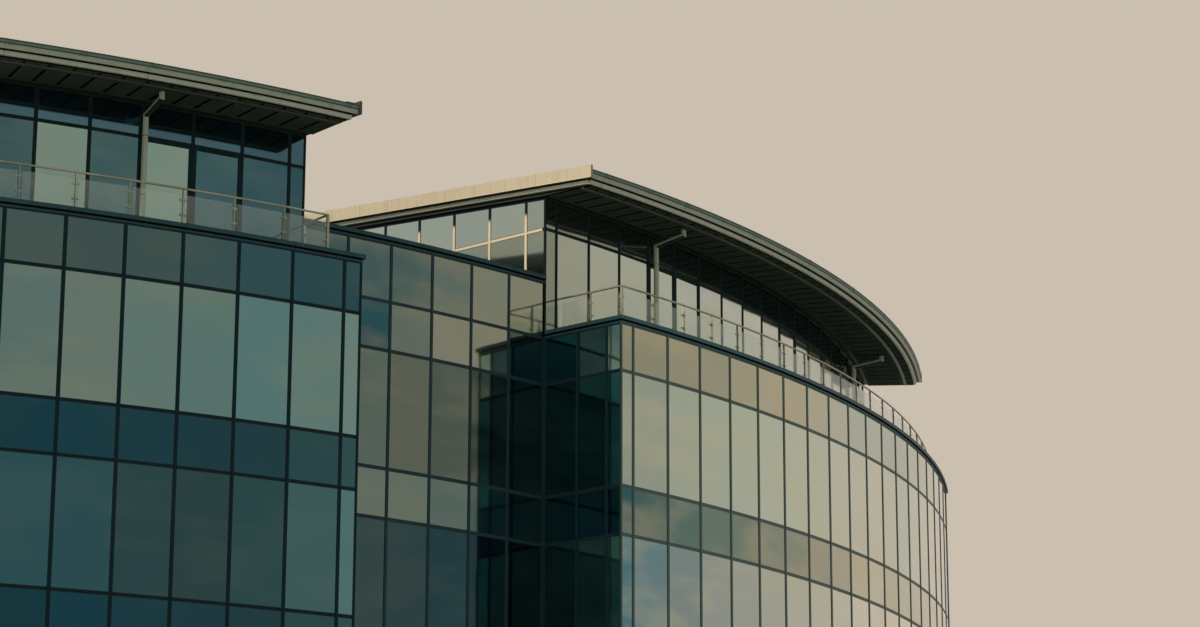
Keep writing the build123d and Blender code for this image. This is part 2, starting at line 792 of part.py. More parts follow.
def handrail(angles, ends):
    """Handrail tube through the posts' angles, with a return to the wall at each end in ends."""
    points = [spot(RAIL_RADIUS, angle) + rail_z for angle in angles]
    if ends[0]:
        points.insert(0, spot(RECESS_RADIUS + FIT, angles[0]) + rail_z)
    if ends[1]:
        points.append(spot(RECESS_RADIUS + FIT, angles[-1]) + rail_z)
    with BuildLine() as path:
        Polyline(*points)
    with BuildSketch(Plane(origin=points[0], z_dir=points[1] - points[0])) as tube:
        Circle(RAIL_TUBE)
    sweep(tube.sketch, path=path.wires()[0], transition=Transition.RIGHT)


with BuildPart() as handrails:
    handrail(left_posts, (False, True))
    handrail(right_posts, (True, True))
finish(handrails, "handrails")


def glass_edge(start, end, reach, width):
    """Plan of a bar between two posts that starts and stops at a reach from their centres."""
    along = (end - start).normalized()
    side = Vector(-along.Y, along.X, 0) * (width / 2)
    a, b = start + along * reach, end - along * reach
    return [a - side, b - side, b + side, a + side]


def bar_plan(radius, angle, depth, width):
    """Plan of an upright bar at a radius and angle: its depth lies along the radius."""
    place, out = spot(radius, angle), outward(angle)
    start, end = place - out * (depth / 2), place + out * (depth / 2)
    return glass_edge(start, end, 0, width)


def clamp_arm(place, toward):
    """Plan of a clamp that reaches from inside a post out to the edge of the glass beside it."""
    along = (toward - place).normalized()
    return glass_edge(place, place + along * (PANEL_GAP - FIT), 0, CLAMP)


# Stretches of glass, each between two places on plan, where a post or the wall stands
return_angles = [left_last, right_first, right_last]
flats = [(RAIL_RADIUS, a) for a in left_posts + right_posts if a not in return_angles]
corners = [(RAIL_RADIUS, a) for a in return_angles]
across = [(return_post_radius, a) for a in return_angles]
stretches = []
for run in (left_posts, right_posts):
    stretches += [(spot(RAIL_RADIUS, a), spot(RAIL_RADIUS, b)) for a, b in zip(run, run[1:])]
stretches += [(spot(RAIL_RADIUS, a), spot(return_post_radius, a)) for a in return_angles]
wall_stretches = [(spot(return_post_radius, a), spot(RECESS_RADIUS, a)) for a in return_angles]
clamps = [clamp_arm(start, end) for start, end in stretches + wall_stretches]
clamps += [clamp_arm(end, start) for start, end in stretches]

uprights = [bar_plan(radius, a, POST, POST_FLAT) for radius, a in flats]
uprights += [bar_plan(radius, a, POST, POST) for radius, a in corners]
uprights += [bar_plan(radius, a, POST_FLAT, POST) for radius, a in across]

with BuildPart() as balustrade_posts:
    prisms(uprights, TERRACE, TERRACE + RAIL_HEIGHT - RAIL_TUBE - FIT)
    for low in (CLAMP_LOW, CLAMP_HIGH):
        prisms(clamps, TERRACE + low, TERRACE + low + CLAMP_HEIGHT)
finish(balustrade_posts, "balustrade_posts")

with BuildPart() as balustrade_glass:
    panels = [glass_edge(a, b, PANEL_GAP, PANEL) for a, b in stretches + wall_stretches]
    prisms(panels, TERRACE + PANEL_LOW, TERRACE + PANEL_HIGH)
finish(balustrade_glass, "balustrade_glass")


# Rainwater pipes: from an outlet in the soffit, back to the wall and down to the terrace
def rain_pipe(angle):
    """One pipe with its sloping arm and mitred elbows."""
    outlet = soffit(PIPE_OUTLET_RADIUS + PIPE) - FIT
    wall_radius = RECESS_RADIUS + PIPE_OFF_WALL
    points = [
        (PIPE_OUTLET_RADIUS, outlet),
        (PIPE_OUTLET_RADIUS, outlet - PIPE_OUTLET_DROP),
        (wall_radius, outlet - PIPE_OUTLET_DROP - PIPE_ARM_DROP),
        (wall_radius, TERRACE),
    ]
    with BuildLine(section(angle)) as path:
        Polyline(*points)
    with BuildSketch(Plane(origin=path.wires()[0] @ 0, z_dir=(0, 0, -1))) as tube:
        Circle(PIPE)
    sweep(tube.sketch, path=path.wires()[0], transition=Transition.RIGHT)


with BuildPart() as rain_pipes:
    rain_pipe(LEFT_CORNER - LEFT_PIPE_BAYS * BAY_ANGLE)
    for bays in RIGHT_PIPE_BAYS:
        rain_pipe(RIGHT_CORNER + bays * BAY_ANGLE)
finish(rain_pipes, "rain_pipes")
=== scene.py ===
"""Looks of the curved glass office building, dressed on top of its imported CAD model.

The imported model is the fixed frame, in metres, with +Z up. Every curved wall is centred on one
upright axis. Plan angles are in degrees from the middle of the plan, positive towards the right
wing, and a point of the plan is given by its radius and its angle.
"""

import logging
from dataclasses import dataclass
from enum import Enum

import bpy
import numpy as np
from mathutils import Matrix, Vector


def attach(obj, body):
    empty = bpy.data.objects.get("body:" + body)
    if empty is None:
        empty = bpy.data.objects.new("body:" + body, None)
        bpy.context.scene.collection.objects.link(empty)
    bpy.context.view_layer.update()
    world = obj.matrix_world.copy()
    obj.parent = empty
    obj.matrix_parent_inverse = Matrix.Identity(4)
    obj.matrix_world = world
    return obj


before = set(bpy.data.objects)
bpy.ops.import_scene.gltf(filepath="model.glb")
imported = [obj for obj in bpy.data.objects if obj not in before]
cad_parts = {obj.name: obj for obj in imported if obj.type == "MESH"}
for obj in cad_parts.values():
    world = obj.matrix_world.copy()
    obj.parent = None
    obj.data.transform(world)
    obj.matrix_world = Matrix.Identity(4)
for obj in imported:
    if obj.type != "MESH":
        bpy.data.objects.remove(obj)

Colour = tuple[float, float, float, float]
Shape = tuple[np.ndarray, np.ndarray]
Span = tuple[float, float]
Ends = tuple[float | None, float | None]
Random = np.random.Generator
Material = bpy.types.Material
Socket = bpy.types.NodeSocket
Value = Socket | float | Colour | str

LOG = logging.getLogger("glass_office")
BODY = "root"
SEED = 20

# Sizes of the CAD model that the pieces here follow, in metres and degrees
CENTRE = np.array([0.0, 31.5])
FRONT, RECESS, BACK, TOP_BACK = 38.4, 36.13, 24.715, 26.985
BAY, CORNER = 1.79, 0.62
LEFT_BAYS, RECESS_BAYS, RIGHT_BAYS = 7, 6, 18
SIDE_BAY, SIDE_CORNER = 1.135, 0.6
RETURN_STEPS = (0.43, 1.292)
PLINTH, STOREY, STOREYS, VISION = 0.15, 3.6, 5, 2.54
MULLION, CORNER_LEG, TRANSOM, TOP_RAIL = 0.066, 0.045, 0.06, 0.025
TERRACE = PLINTH + STOREY * STOREYS
PARAPET_TOP, COPING_LOW = TERRACE + 1.345, 0.07
EAVES, ROOF_SLOPE, SOFFIT_FALL = TERRACE + 3.284, 0.065, 0.022
GUTTER, GUTTER_TOP, GUTTER_HEIGHT, GUTTER_LEAN = 37.785, TERRACE + 3.548, 0.182, 0.08
NOSE, ROOF_BACK = 37.56, 25.985
TRIM, TRIM_WIDTH = 37.315, 0.08
VERGE_TURN = float(np.degrees(0.075 / GUTTER))
VERGE_BOTTOM = 0.194
RAIL, RAIL_SIDE, POST_STEP, LEFT_FIRST_POST = 37.935, 0.555, 1.68, 1.56
POST_WIDTH, PANEL_GAP, PANEL_HALF = 0.05, 0.045, 0.006
CLAMP_LEVELS = (0.4705, 0.7745)
PIPE, PIPE_WALL = 0.06, RECESS + 0.095
PIPE_BAYS_LEFT, PIPE_BAYS_RIGHT = (3.33,), (3.52, 15.6)
TOTAL = (LEFT_BAYS + RECESS_BAYS + RIGHT_BAYS) * BAY + 3 * CORNER
LEFT_END, RIGHT_END = -TOTAL / 2, TOTAL / 2
LEFT_CORNER = LEFT_END + LEFT_BAYS * BAY + CORNER
RIGHT_CORNER = LEFT_CORNER + RECESS_BAYS * BAY
WINGS = ((LEFT_END, LEFT_CORNER), (RIGHT_CORNER, RIGHT_END))

# Rows of panes of the top storeys: levels of the lower one, sill of the upper one, gap under the roof
TOP_LOW = (TERRACE + TRANSOM, TERRACE + VISION - TRANSOM / 2)
TOP_SILL, HEAD_GAP = TERRACE + VISION + TRANSOM / 2, TRANSOM + 0.0008

# Gap that keeps the linings off the deck, width of a butt joint, and the noise levels where wear shows
SKIN = 0.0006
JOINT = 0.012
WEAR = (0.45, 0.72)


# Plan and grids


def spot(radius: np.ndarray | float, angle: np.ndarray | float) -> np.ndarray:
    """Points of the plan: the centre plus the radius along (sin angle, -cos angle).

    Args:
        radius: Distance from the centre of the curve, in metres.
        angle: Plan angle in degrees.

    Returns:
        The points, with x and y in the last axis.
    """
    turn = np.radians(angle)
    return CENTRE + np.stack([radius * np.sin(turn), -radius * np.cos(turn)], axis=-1)


def raised(plan: np.ndarray, height: np.ndarray | float) -> np.ndarray:
    """Plan points with a height as their third coordinate."""
    return np.concatenate([plan, np.broadcast_to(height, plan.shape[:-1])[..., None]], axis=-1)


def reach(points: np.ndarray) -> np.ndarray:
    """Distance of plan points from the centre of the curve."""
    return np.linalg.norm(points[..., :2] - CENTRE, axis=-1)


def along_front(angle: float) -> float:
    """Length along the front's curve from the middle of the plan to an angle."""
    return float(np.radians(angle) * FRONT)


def underside(radius: np.ndarray | float) -> np.ndarray | float:
    """Height of a roof's underside over its rooms."""
    return EAVES + ROOF_SLOPE * (RECESS - radius)


def roof_top(radius: np.ndarray | float) -> np.ndarray | float:
    """Height of a roof's upper face."""
    return GUTTER_TOP + ROOF_SLOPE * (GUTTER - radius)


def soffit(radius: np.ndarray | float) -> np.ndarray | float:
    """Height of a roof's underside in front of the top storey."""
    return EAVES - SOFFIT_FALL * (radius - RECESS) / (NOSE - RECESS)


def grid_quads(rows: int, columns: int, closed: bool = False) -> np.ndarray:
    """Corner numbers of the quads of a grid whose points are stored row by row.

    Args:
        rows: Number of rows of points.
        columns: Number of points in a row.
        closed: Whether the last point of each row joins the first.

    Returns:
        One row of four corner numbers for each quad.
    """
    spans = columns if closed else columns - 1
    row, column = np.meshgrid(np.arange(rows - 1), np.arange(spans), indexing="ij")
    here, ahead = row * columns + column, row * columns + (column + 1) % columns
    quads = np.stack([here, ahead, ahead + columns, here + columns], axis=-1)
    return quads.reshape(-1, 4)


def repeated(quads: np.ndarray, copies: int, size: int) -> np.ndarray:
    """The same quads for each of several copies of a shape with size points."""
    return (quads[None] + (np.arange(copies) * size)[:, None, None]).reshape(-1, 4)


def joined(shapes: list[Shape]) -> Shape:
    """Several shapes as one.

    Args:
        shapes: Points and quads of each shape.

    Returns:
        All points, and the quads counted on from shape to shape.
    """
    points = [shape[0].reshape(-1, 3) for shape in shapes]
    starts = np.cumsum([0] + [len(p) for p in points[:-1]])
    quads = [shape[1] + start for shape, start in zip(shapes, starts)]
    return np.concatenate(points), np.concatenate(quads)


def prism_shape(outlines: np.ndarray, rise: np.ndarray) -> Shape:
    """Four-sided bars: each outline of four points, and the same outline moved by its rise.

    Args:
        outlines: Array of n outlines, four points each, that run anticlockwise seen from the tip.
        rise: Vector from each outline to the other end of its bar.

    Returns:
        Points and quads of the closed bars.
    """
    points = np.stack([outlines, outlines + rise.reshape(-1, 1, 3)], axis=1)
    quads = np.array([[0, 1, 5, 4], [1, 2, 6, 5], [2, 3, 7, 6], [3, 0, 4, 7], [4, 5, 6, 7], [3, 2, 1, 0]])
    return points.reshape(-1, 3), repeated(quads, len(outlines), 8)


# Node trees


def linear(colour: str) -> Colour:
    """Linear colour of an sRGB value.

    Args:
        colour: Hex value such as #c8b89a.

    Returns:
        Red, green and blue from 0 to 1, and an alpha of 1.
    """
    share = [int(colour[k : k + 2], 16) / 255 for k in (1, 3, 5)]
    lin = [c / 12.92 if c <= 0.04045 else ((c + 0.055) / 1.055) ** 2.4 for c in share]
    return (*lin, 1.0)


class Step(Enum):
    """Kinds of shader node: type, inputs in order, output, and a setting with its value."""

    ADD = ("Math", (0, 1), 0, "operation", "ADD")
    SUBTRACT = ("Math", (0, 1), 0, "operation", "SUBTRACT")
    MULTIPLY = ("Math", (0, 1), 0, "operation", "MULTIPLY")
    DIVIDE = ("Math", (0, 1), 0, "operation", "DIVIDE")
    SQRT = ("Math", (0,), 0, "operation", "SQRT")
    FRACT = ("Math", (0,), 0, "operation", "FRACT")
    ARCTAN2 = ("Math", (0, 1), 0, "operation", "ARCTAN2")
    MAXIMUM = ("Math", (0, 1), 0, "operation", "MAXIMUM")
    LESS_THAN = ("Math", (0, 1), 0, "operation", "LESS_THAN")
    GREATER_THAN = ("Math", (0, 1), 0, "operation", "GREATER_THAN")
    RAMP = ("MapRange", ("Value", "From Min", "From Max"), 0, "interpolation_type", "SMOOTHSTEP")
    RANGE = ("MapRange", ("Value", "To Min", "To Max"), 0)
    BLEND = ("Mix", (0, 6, 7), 2, "data_type", "RGBA")
    NOISE = ("TexNoise", ("Vector", "Scale", "Detail"), "Fac")
    WAVES = ("TexWave", ("Vector", "Scale", "Distortion", "Detail", "Detail Scale"), "Fac")
    STRETCH = ("Mapping", ("Vector", "Scale"), 0)
    VECTOR = ("CombineXYZ", (0, 1), 0)
    X = ("SeparateXYZ", (0,), 0)
    Y = ("SeparateXYZ", (0,), 1)
    Z = ("SeparateXYZ", (0,), 2)
    PLACE = ("TexCoord", (), "Object")
    NORMAL = ("NewGeometry", (), "Normal")
    TINT = ("Attribute", (), "Color", "attribute_name", "tint")
    CLOUD = ("Attribute", (), "Alpha", "attribute_name", "tint")
    PANE = ("UVMap", (), 0, "uv_map", "pane")
    BUMP = ("Bump", ("Height", "Distance", "Strength"), 0)
    SHADER = ("BsdfPrincipled", ("Base Color", "Roughness", "Metallic"), 0)
    MATERIAL = ("OutputMaterial", ("Surface",), None)
    SEEN = ("LightPath", (), "Is Camera Ray")
    MIRRORED = ("LightPath", (), "Is Glossy Ray")
    SEEN_THROUGH = ("LightPath", (), "Is Transmission Ray")
    BACKGROUND = ("Background", (0, 1), 0)
    EITHER = ("MixShader", (0, 1, 2), 0)
    WORLD = ("OutputWorld", ("Surface",), None)


class Graph:
    """Node tree of a material or of the world."""

    def __init__(self, owner: Material | bpy.types.World) -> None:
        """Empty the tree and place it in the building's own frame, in metres.

        Args:
            owner: Material or world that the tree belongs to.
        """
        owner.use_nodes = True
        self.tree = owner.node_tree
        self.tree.nodes.clear()
        self.place = self.add(Step.PLACE)

    def add(self, step: Step, *values: Value, **named: Value) -> Socket | None:
        """Add a node with its setting, its values and its links.

        Args:
            step: Kind of node.
            values: Values, hex colours or sockets for the step's inputs, in their order.
            named: The same for other inputs, with _ for a space in their names.

        Returns:
            The node's output, or None at the end of a tree.
        """
        kind, inputs, output, *setting = step.value
        node = self.tree.nodes.new(f"ShaderNode{kind}")
        if setting:
            setattr(node, *setting)
        given = dict(zip(inputs, values)) | {name.replace("_", " "): value for name, value in named.items()}
        for key, value in given.items():
            if isinstance(value, Socket):
                self.tree.links.new(value, node.inputs[key])
            else:
                node.inputs[key].default_value = linear(value) if isinstance(value, str) else value
        return None if output is None else node.outputs[output]

    def cover(self, base: Value, colour: Value, mask: Socket, share: float = 1.0) -> Socket:
        """A colour laid over a base where a mask is 1, as strongly as its share."""
        strength = self.add(Step.MULTIPLY, mask, share) if share < 1 else mask
        return self.add(Step.BLEND, strength, base, colour)

    def pattern(
        self, size: float, detail: float, stretch: tuple[float, ...] = (), place: Socket | None = None
    ) -> Socket:
        """Noise in patches about size metres across.

        Args:
            size: Size of a patch.
            detail: Number of finer layers.
            stretch: Scales of the three axes; the patches are drawn out along a small one.
            place: Coordinates, if not the building's own.

        Returns:
            The noise, from 0 to 1.
        """
        where = self.place if place is None else place
        if stretch:
            where = self.add(Step.STRETCH, where, stretch)
        return self.add(Step.NOISE, where, 1 / size, detail)

    def polar(self) -> tuple[Socket, Socket, Socket]:
        """Place of each point on the curved plan, in metres.

        Returns:
            The radius, which is the root of x squared plus y squared from the centre; the length
            along the front's curve, which is the angle times the front's radius; the height.
        """
        across, forth, height = (self.add(axis, self.place) for axis in (Step.X, Step.Y, Step.Z))
        depth = self.add(Step.SUBTRACT, float(CENTRE[1]), forth)
        squares = [self.add(Step.MULTIPLY, side, side) for side in (across, depth)]
        radius = self.add(Step.SQRT, self.add(Step.ADD, *squares))
        angle = self.add(Step.ARCTAN2, across, depth)
        return radius, self.add(Step.MULTIPLY, angle, FRONT), height

    def above_slope(self, radius: Socket, height: Socket, start: float, level: float) -> Socket:
        """Height over a line with the roof's slope: height - ((start - radius) * slope + level)."""
        slope = self.add(Step.MULTIPLY, self.add(Step.SUBTRACT, start, radius), ROOF_SLOPE)
        return self.add(Step.SUBTRACT, height, self.add(Step.ADD, slope, level))

    def facing(self) -> Socket:
        """Upward part of a face's normal, from -1 to 1."""
        return self.add(Step.Z, self.add(Step.NORMAL))

    def band(self, value: Socket, low: float, high: float) -> Socket:
        """1 where a value lies between two limits, 0 elsewhere."""
        above, below = self.add(Step.GREATER_THAN, value, low), self.add(Step.LESS_THAN, value, high)
        return self.add(Step.MULTIPLY, above, below)

    def lines(self, run: Socket, spacing: float, width: float = JOINT) -> Socket:
        """1 on lines of a width that repeat at a spacing along a length, 0 between them."""
        share = self.add(Step.FRACT, self.add(Step.DIVIDE, run, spacing))
        return self.add(Step.LESS_THAN, share, width / spacing)

    def surface(
        self,
        colour: Value,
        roughness: Value,
        metallic: float = 0.0,
        height: Socket | None = None,
        depth: float = 0.0,
        **levels: Value,
    ) -> None:
        """Close a material with its shader and an optional bump.

        Args:
            colour: Base colour.
            roughness: Roughness.
            metallic: Metallic value.
            height: Socket that the bump follows, or None.
            depth: Depth of the bump in metres.
            levels: Other inputs of the shader, with _ for a space in their names.
        """
        if height is not None:
            levels["Normal"] = self.add(Step.BUMP, height, depth, 1.0)
        self.add(Step.MATERIAL, self.add(Step.SHADER, colour, roughness, metallic, **levels))


# Finishes


@dataclass(frozen=True)
class Coat:
    """A finish. Each kind of finish paints its node tree in its own way."""

    name: str

    def material(self) -> Material:
        """Build the material.

        Returns:
            The painted node material.
        """
        material = bpy.data.materials.new(self.name)
        self.paint(Graph(material))
        return material

    def paint(self, graph: Graph) -> None:
        """Fill a new material's node tree."""
        raise NotImplementedError


@dataclass(frozen=True)
class PowderCoat(Coat):
    """Powder-coated aluminium: sprayed and baked, an even satin skin with faint rain marks.

    joints is the length between butt joints. The side colour is painted sunlight on the screen at the
    left end of the right-hand top storey, kept off a band under the roof as the verge's painted shadow;
    the under colour is painted shade on sides that look down.
    """

    colour: str
    worn: str
    roughness: float = 0.45
    streak: float = 0.35
    joints: float = 0.0
    sunlit_side_colour: str = ""
    underside_shade: str = ""
    sheen: float = 0.2

    def paint(self, graph: Graph) -> None:
        """Paint the coat and its rain marks, then where set the screen's painted sunlight, painted shade
        underneath and joints.

        Args:
            graph: Node tree of the material.
        """
        radius, along, height = graph.polar()
        # Rain marks are narrow and run down, so the pattern is drawn out along the height
        marks = graph.pattern(1.0, 4, (6, 6, 0.5))
        base = graph.cover(self.colour, self.worn, graph.add(Step.RAMP, marks, *WEAR), self.streak)
        # Painted sunlight: the screen's frames are paler where the low sun grazes them, but stay dark in a
        # band under the roof as the verge's painted shadow
        if self.sunlit_side_colour:
            on_side = graph.band(along, along_front(RIGHT_CORNER - 1), along_front(RIGHT_CORNER + 0.3))
            mask = graph.add(Step.MULTIPLY, on_side, graph.add(Step.LESS_THAN, radius, RECESS - 0.1))
            below = graph.add(Step.SUBTRACT, 0.0, graph.above_slope(radius, height, RECESS, EAVES - 0.3))
            mask = graph.add(Step.MULTIPLY, mask, graph.add(Step.RAMP, below, 0.0, 0.12))
            base = graph.cover(base, self.sunlit_side_colour, mask)
        # Painted shade: sides that look down, such as the underside of the pipes' bends, are painted darker
        if self.underside_shade:
            base = graph.cover(base, self.underside_shade, graph.add(Step.LESS_THAN, graph.facing(), -0.3))
        if self.joints:
            base = graph.cover(base, "#0b0f10", graph.lines(along, self.joints), 0.7)
        rough = (self.roughness - 0.06, self.roughness + 0.08)
        rough = graph.add(Step.RANGE, graph.pattern(1.4, 2), *rough)
        graph.surface(base, rough, height=marks, depth=0.0004, Specular_IOR_Level=self.sheen)


@dataclass(frozen=True)
class FoldedCoping(Coat):
    """Folded aluminium coping: a wide band over a groove painted black as shade, butt-jointed at lengths."""

    colour: str
    worn: str
    groove_shade: str = "#040606"
    length: float = 2.4
    bases: tuple[float, ...] = (TERRACE, PARAPET_TOP - COPING_LOW)

    def paint(self, graph: Graph) -> None:
        """Paint the band, its joints and, as painted shade, the groove just below it, at the base of either
        coping.

        Args:
            graph: Node tree of the material.
        """
        _, along, height = graph.polar()
        marks = graph.pattern(1.0, 4, (4, 4, 1))
        base = graph.cover(self.colour, self.worn, graph.add(Step.RAMP, marks, *WEAR), 0.4)
        dark = graph.add(Step.MULTIPLY, graph.lines(along, self.length), 0.7)
        # Painted shade: the groove under each band is painted near black
        for level in self.bases:
            dark = graph.add(Step.MAXIMUM, dark, graph.band(height, level + 0.042, level + 0.076))
        graph.surface(graph.cover(base, self.groove_shade, dark), 0.45, Specular_IOR_Level=0.1)


@dataclass(frozen=True)
class CoatedGlass(Coat):
    """Solar-control float glass: sputtered metal film, a tinted mirror by day with soft clouds painted in it
    as reflection.
    """

    cloud: str
    cloud_share: float = 0.32
    cloud_size: float = 1.1
    folds: float = 0.0
    mirror: float = 0.98
    roughness: float = 0.06

    def paint(self, graph: Graph) -> None:
        """Paint clouds, a painted reflection, over each pane's own colour; its tint attribute holds that and
        its cloud share.

        Args:
            graph: Node tree of the material.
        """
        # The painted reflections of clouds lie in flat banks, wider than they are high
        banks = graph.add(Step.STRETCH, graph.place, (0.6, 0.6, 1.6))
        wide = graph.pattern(self.cloud_size, 2, place=banks)
        broad = graph.add(Step.SUBTRACT, graph.pattern(self.cloud_size * 3, 1, place=banks), 0.5)
        drift = graph.add(Step.ADD, wide, graph.add(Step.MULTIPLY, broad, 0.6))
        share = graph.add(Step.MULTIPLY, graph.add(Step.RAMP, drift, 0.38, 0.72), self.cloud_share)
        share = graph.add(Step.MULTIPLY, share, graph.add(Step.CLOUD))
        base = graph.cover(graph.add(Step.TINT), self.cloud, share)
        if self.folds:
            # Curtains hang behind the glass in folds about 110 mm apart, drawn as bands of painted shade
            cloth = graph.add(Step.WAVES, graph.add(Step.PANE), 2.86, 2.0, 1.0, 1.5)
            base = graph.cover(base, "#22302f", graph.add(Step.SUBTRACT, 1.0, cloth), self.folds)
        graph.surface(base, self.roughness, metallic=self.mirror, height=wide, depth=0.003)


@dataclass(frozen=True)
class ClearGlass(Coat):
    """Toughened clear glass: float glass with ground edges, faintly green, with a film of rain dust."""

    colour: str
    gleam: str
    dust: float

    def paint(self, graph: Graph) -> None:
        """Paint it clear, and dusty enough in drifts to soften what lies behind it.

        Args:
            graph: Node tree of the material.
        """
        smear = graph.pattern(0.8, 3, (2, 2, 0.6))
        clear = graph.add(Step.RANGE, smear, 1.0 - self.dust * 1.4, 1.0 - self.dust * 0.6)
        levels = {"IOR": 1.52, "Specular_IOR_Level": 0.5, "Specular_Tint": self.gleam}
        graph.surface(self.colour, 0.03, Transmission_Weight=clear, **levels)


@dataclass(frozen=True)
class BrushedSteel(Coat):
    """Stainless steel: drawn and brushed, with fine lines that soften its reflection."""

    colour: str
    dull: str

    def paint(self, graph: Graph) -> None:
        """Paint a dull stain, and brush lines 4 mm apart so that they show.

        Args:
            graph: Node tree of the material.
        """
        stain = graph.add(Step.RAMP, graph.pattern(0.7, 3), 0.4, 0.7)
        base = graph.cover(self.colour, self.dull, stain)
        graph.surface(base, 0.32, metallic=0.6, height=graph.pattern(0.03, 2, (1, 1, 8)), depth=0.0003)


@dataclass(frozen=True)
class Masonry(Coat):
    """Cast concrete or sand render: matt, with damp patches, pores and joints.

    slab is the side of its square slabs and lifts the height between level joints, each if set.
    """

    colour: str
    damp: str
    slab: float = 0.0
    lifts: float = 0.0

    def paint(self, graph: Graph) -> None:
        """Paint the patches, then the joints, which are also cut into the surface.

        Args:
            graph: Node tree of the material.
        """
        radius, along, height = graph.polar()
        patches = graph.pattern(1.8, 4)
        base = graph.cover(self.colour, self.damp, graph.add(Step.RAMP, patches, 0.3, 0.8))
        pores = graph.add(Step.MULTIPLY, graph.pattern(0.02, 2), 0.3)
        relief = graph.add(Step.ADD, pores, graph.add(Step.MULTIPLY, patches, 0.2))
        if self.slab:
            joints = graph.add(Step.MAXIMUM, graph.lines(radius, self.slab), graph.lines(along, self.slab))
            base = graph.cover(base, "#4a4945", joints, 0.6)
            relief = graph.add(Step.SUBTRACT, relief, joints)
        if self.lifts:
            joints = graph.lines(graph.add(Step.SUBTRACT, height, PLINTH), self.lifts, 0.03)
            base = graph.cover(base, "#57534b", joints, 0.5)
            relief = graph.add(Step.SUBTRACT, relief, joints)
        graph.surface(base, 0.85, height=relief, depth=0.003)


@dataclass(frozen=True)
class RibbedGutter(Coat):
    """Coil-coated gutter: rolled sheet, grey-green, with painted shade in the creases between its ribs."""

    colour: str
    upper: str
    crease_shade: str
    stain: str

    def paint(self, graph: Graph) -> None:
        """Paint a darker upper rib, painted shade in the creases, clip marks along the top, streaks, and
        painted shade below.

        Args:
            graph: Node tree of the material.
        """
        _, along, height = graph.polar()
        level = graph.add(Step.SUBTRACT, height, GUTTER_TOP - GUTTER_HEIGHT)
        base = graph.cover(self.colour, self.upper, graph.add(Step.RAMP, level, 0.09, 0.1))
        run = graph.add(Step.VECTOR, along, graph.add(Step.MULTIPLY, height, 0.4))
        streaks = graph.pattern(0.25, 4, place=run)
        base = graph.cover(base, self.stain, graph.add(Step.RAMP, streaks, 0.5, 0.75), 0.5)
        # Painted shade in the two creases between the ribs
        creases = graph.add(Step.MAXIMUM, graph.band(level, 0.156, 0.179), graph.band(level, 0.09, 0.112))
        # Clips fold over the top edge 50 mm apart, and lengths of gutter overlap in dark ticks
        clips = graph.add(Step.MULTIPLY, graph.lines(along, 0.05, 0.025), graph.band(level, 0.128, 0.15))
        ticks = graph.add(Step.MULTIPLY, graph.lines(along, 1.5, 0.2), graph.lines(along, 0.066, 0.03))
        ticks = graph.add(Step.MULTIPLY, ticks, graph.add(Step.GREATER_THAN, level, 0.07))
        marks = [graph.add(Step.MULTIPLY, mark, share) for mark, share in ((clips, 0.45), (ticks, 0.6))]
        dark = graph.add(Step.MAXIMUM, graph.add(Step.MAXIMUM, *marks), creases)
        base = graph.cover(base, self.crease_shade, dark)
        # Painted shade: the underside, which looks down, is painted nearly black
        base = graph.cover(base, "#10150f", graph.add(Step.LESS_THAN, graph.facing(), -0.7))
        graph.surface(base, 0.5, height=streaks, depth=0.002, Specular_IOR_Level=0.25)


@dataclass(frozen=True)
class VergeBoard(Coat):
    """Painted board along a roof's verge: weathered pale coat in lengths of about a metre."""

    colour: str
    weathered: str
    strip: str
    shaded: str

    def paint(self, graph: Graph) -> None:
        """Paint joints along the slope, streaks down it and a greyer lower strip, with painted light and
        shade along their edges and on the left roof's board.

        Args:
            graph: Node tree of the material.
        """
        radius, along, height = graph.polar()
        above = graph.above_slope(radius, height, GUTTER, GUTTER_TOP - VERGE_BOTTOM)
        run = graph.add(Step.VECTOR, radius, graph.add(Step.MULTIPLY, above, 0.35))
        streaks, patches = graph.pattern(0.12, 4, place=run), graph.pattern(1.1, 3, place=run)
        base = graph.cover(self.colour, self.weathered, graph.add(Step.RAMP, streaks, 0.42, 0.72), 0.55)
        base = graph.cover(base, "#b8b19c", graph.add(Step.RAMP, patches, 0.5, 0.8), 0.4)
        # Painted highlight along the board's folded lower edge. The strip under it starts in a painted shadow
        # gap, is painted paler where the board's shadow falls on it and darker along its bottom as painted
        # shade
        base = graph.cover(base, "#e3d8b2", graph.band(above, 0.0, 0.016))
        strip = graph.cover(self.strip, "#e2ead9", graph.add(Step.RAMP, above, -0.075, -0.03))
        strip = graph.cover(strip, "#5d6453", graph.add(Step.LESS_THAN, above, -0.088))
        base = graph.cover(base, strip, graph.add(Step.LESS_THAN, above, 0.0))
        base = graph.cover(base, "#0c120f", graph.band(above, -0.012, 0.001))
        base = graph.cover(base, "#6f6a58", graph.lines(radius, 0.95, 0.014), 0.55)
        # The cut end that caps the gutter is painted with it
        base = graph.cover(base, "#6d7c70", graph.add(Step.GREATER_THAN, radius, GUTTER - 0.012))
        # The left roof's board stands in the shade of the recess, painted on it as a dark coat
        in_shade = graph.add(Step.LESS_THAN, along, along_front(LEFT_CORNER + 1))
        base = graph.cover(base, self.shaded, in_shade)
        graph.surface(base, 0.62, height=streaks, depth=0.003, Specular_IOR_Level=0.3)


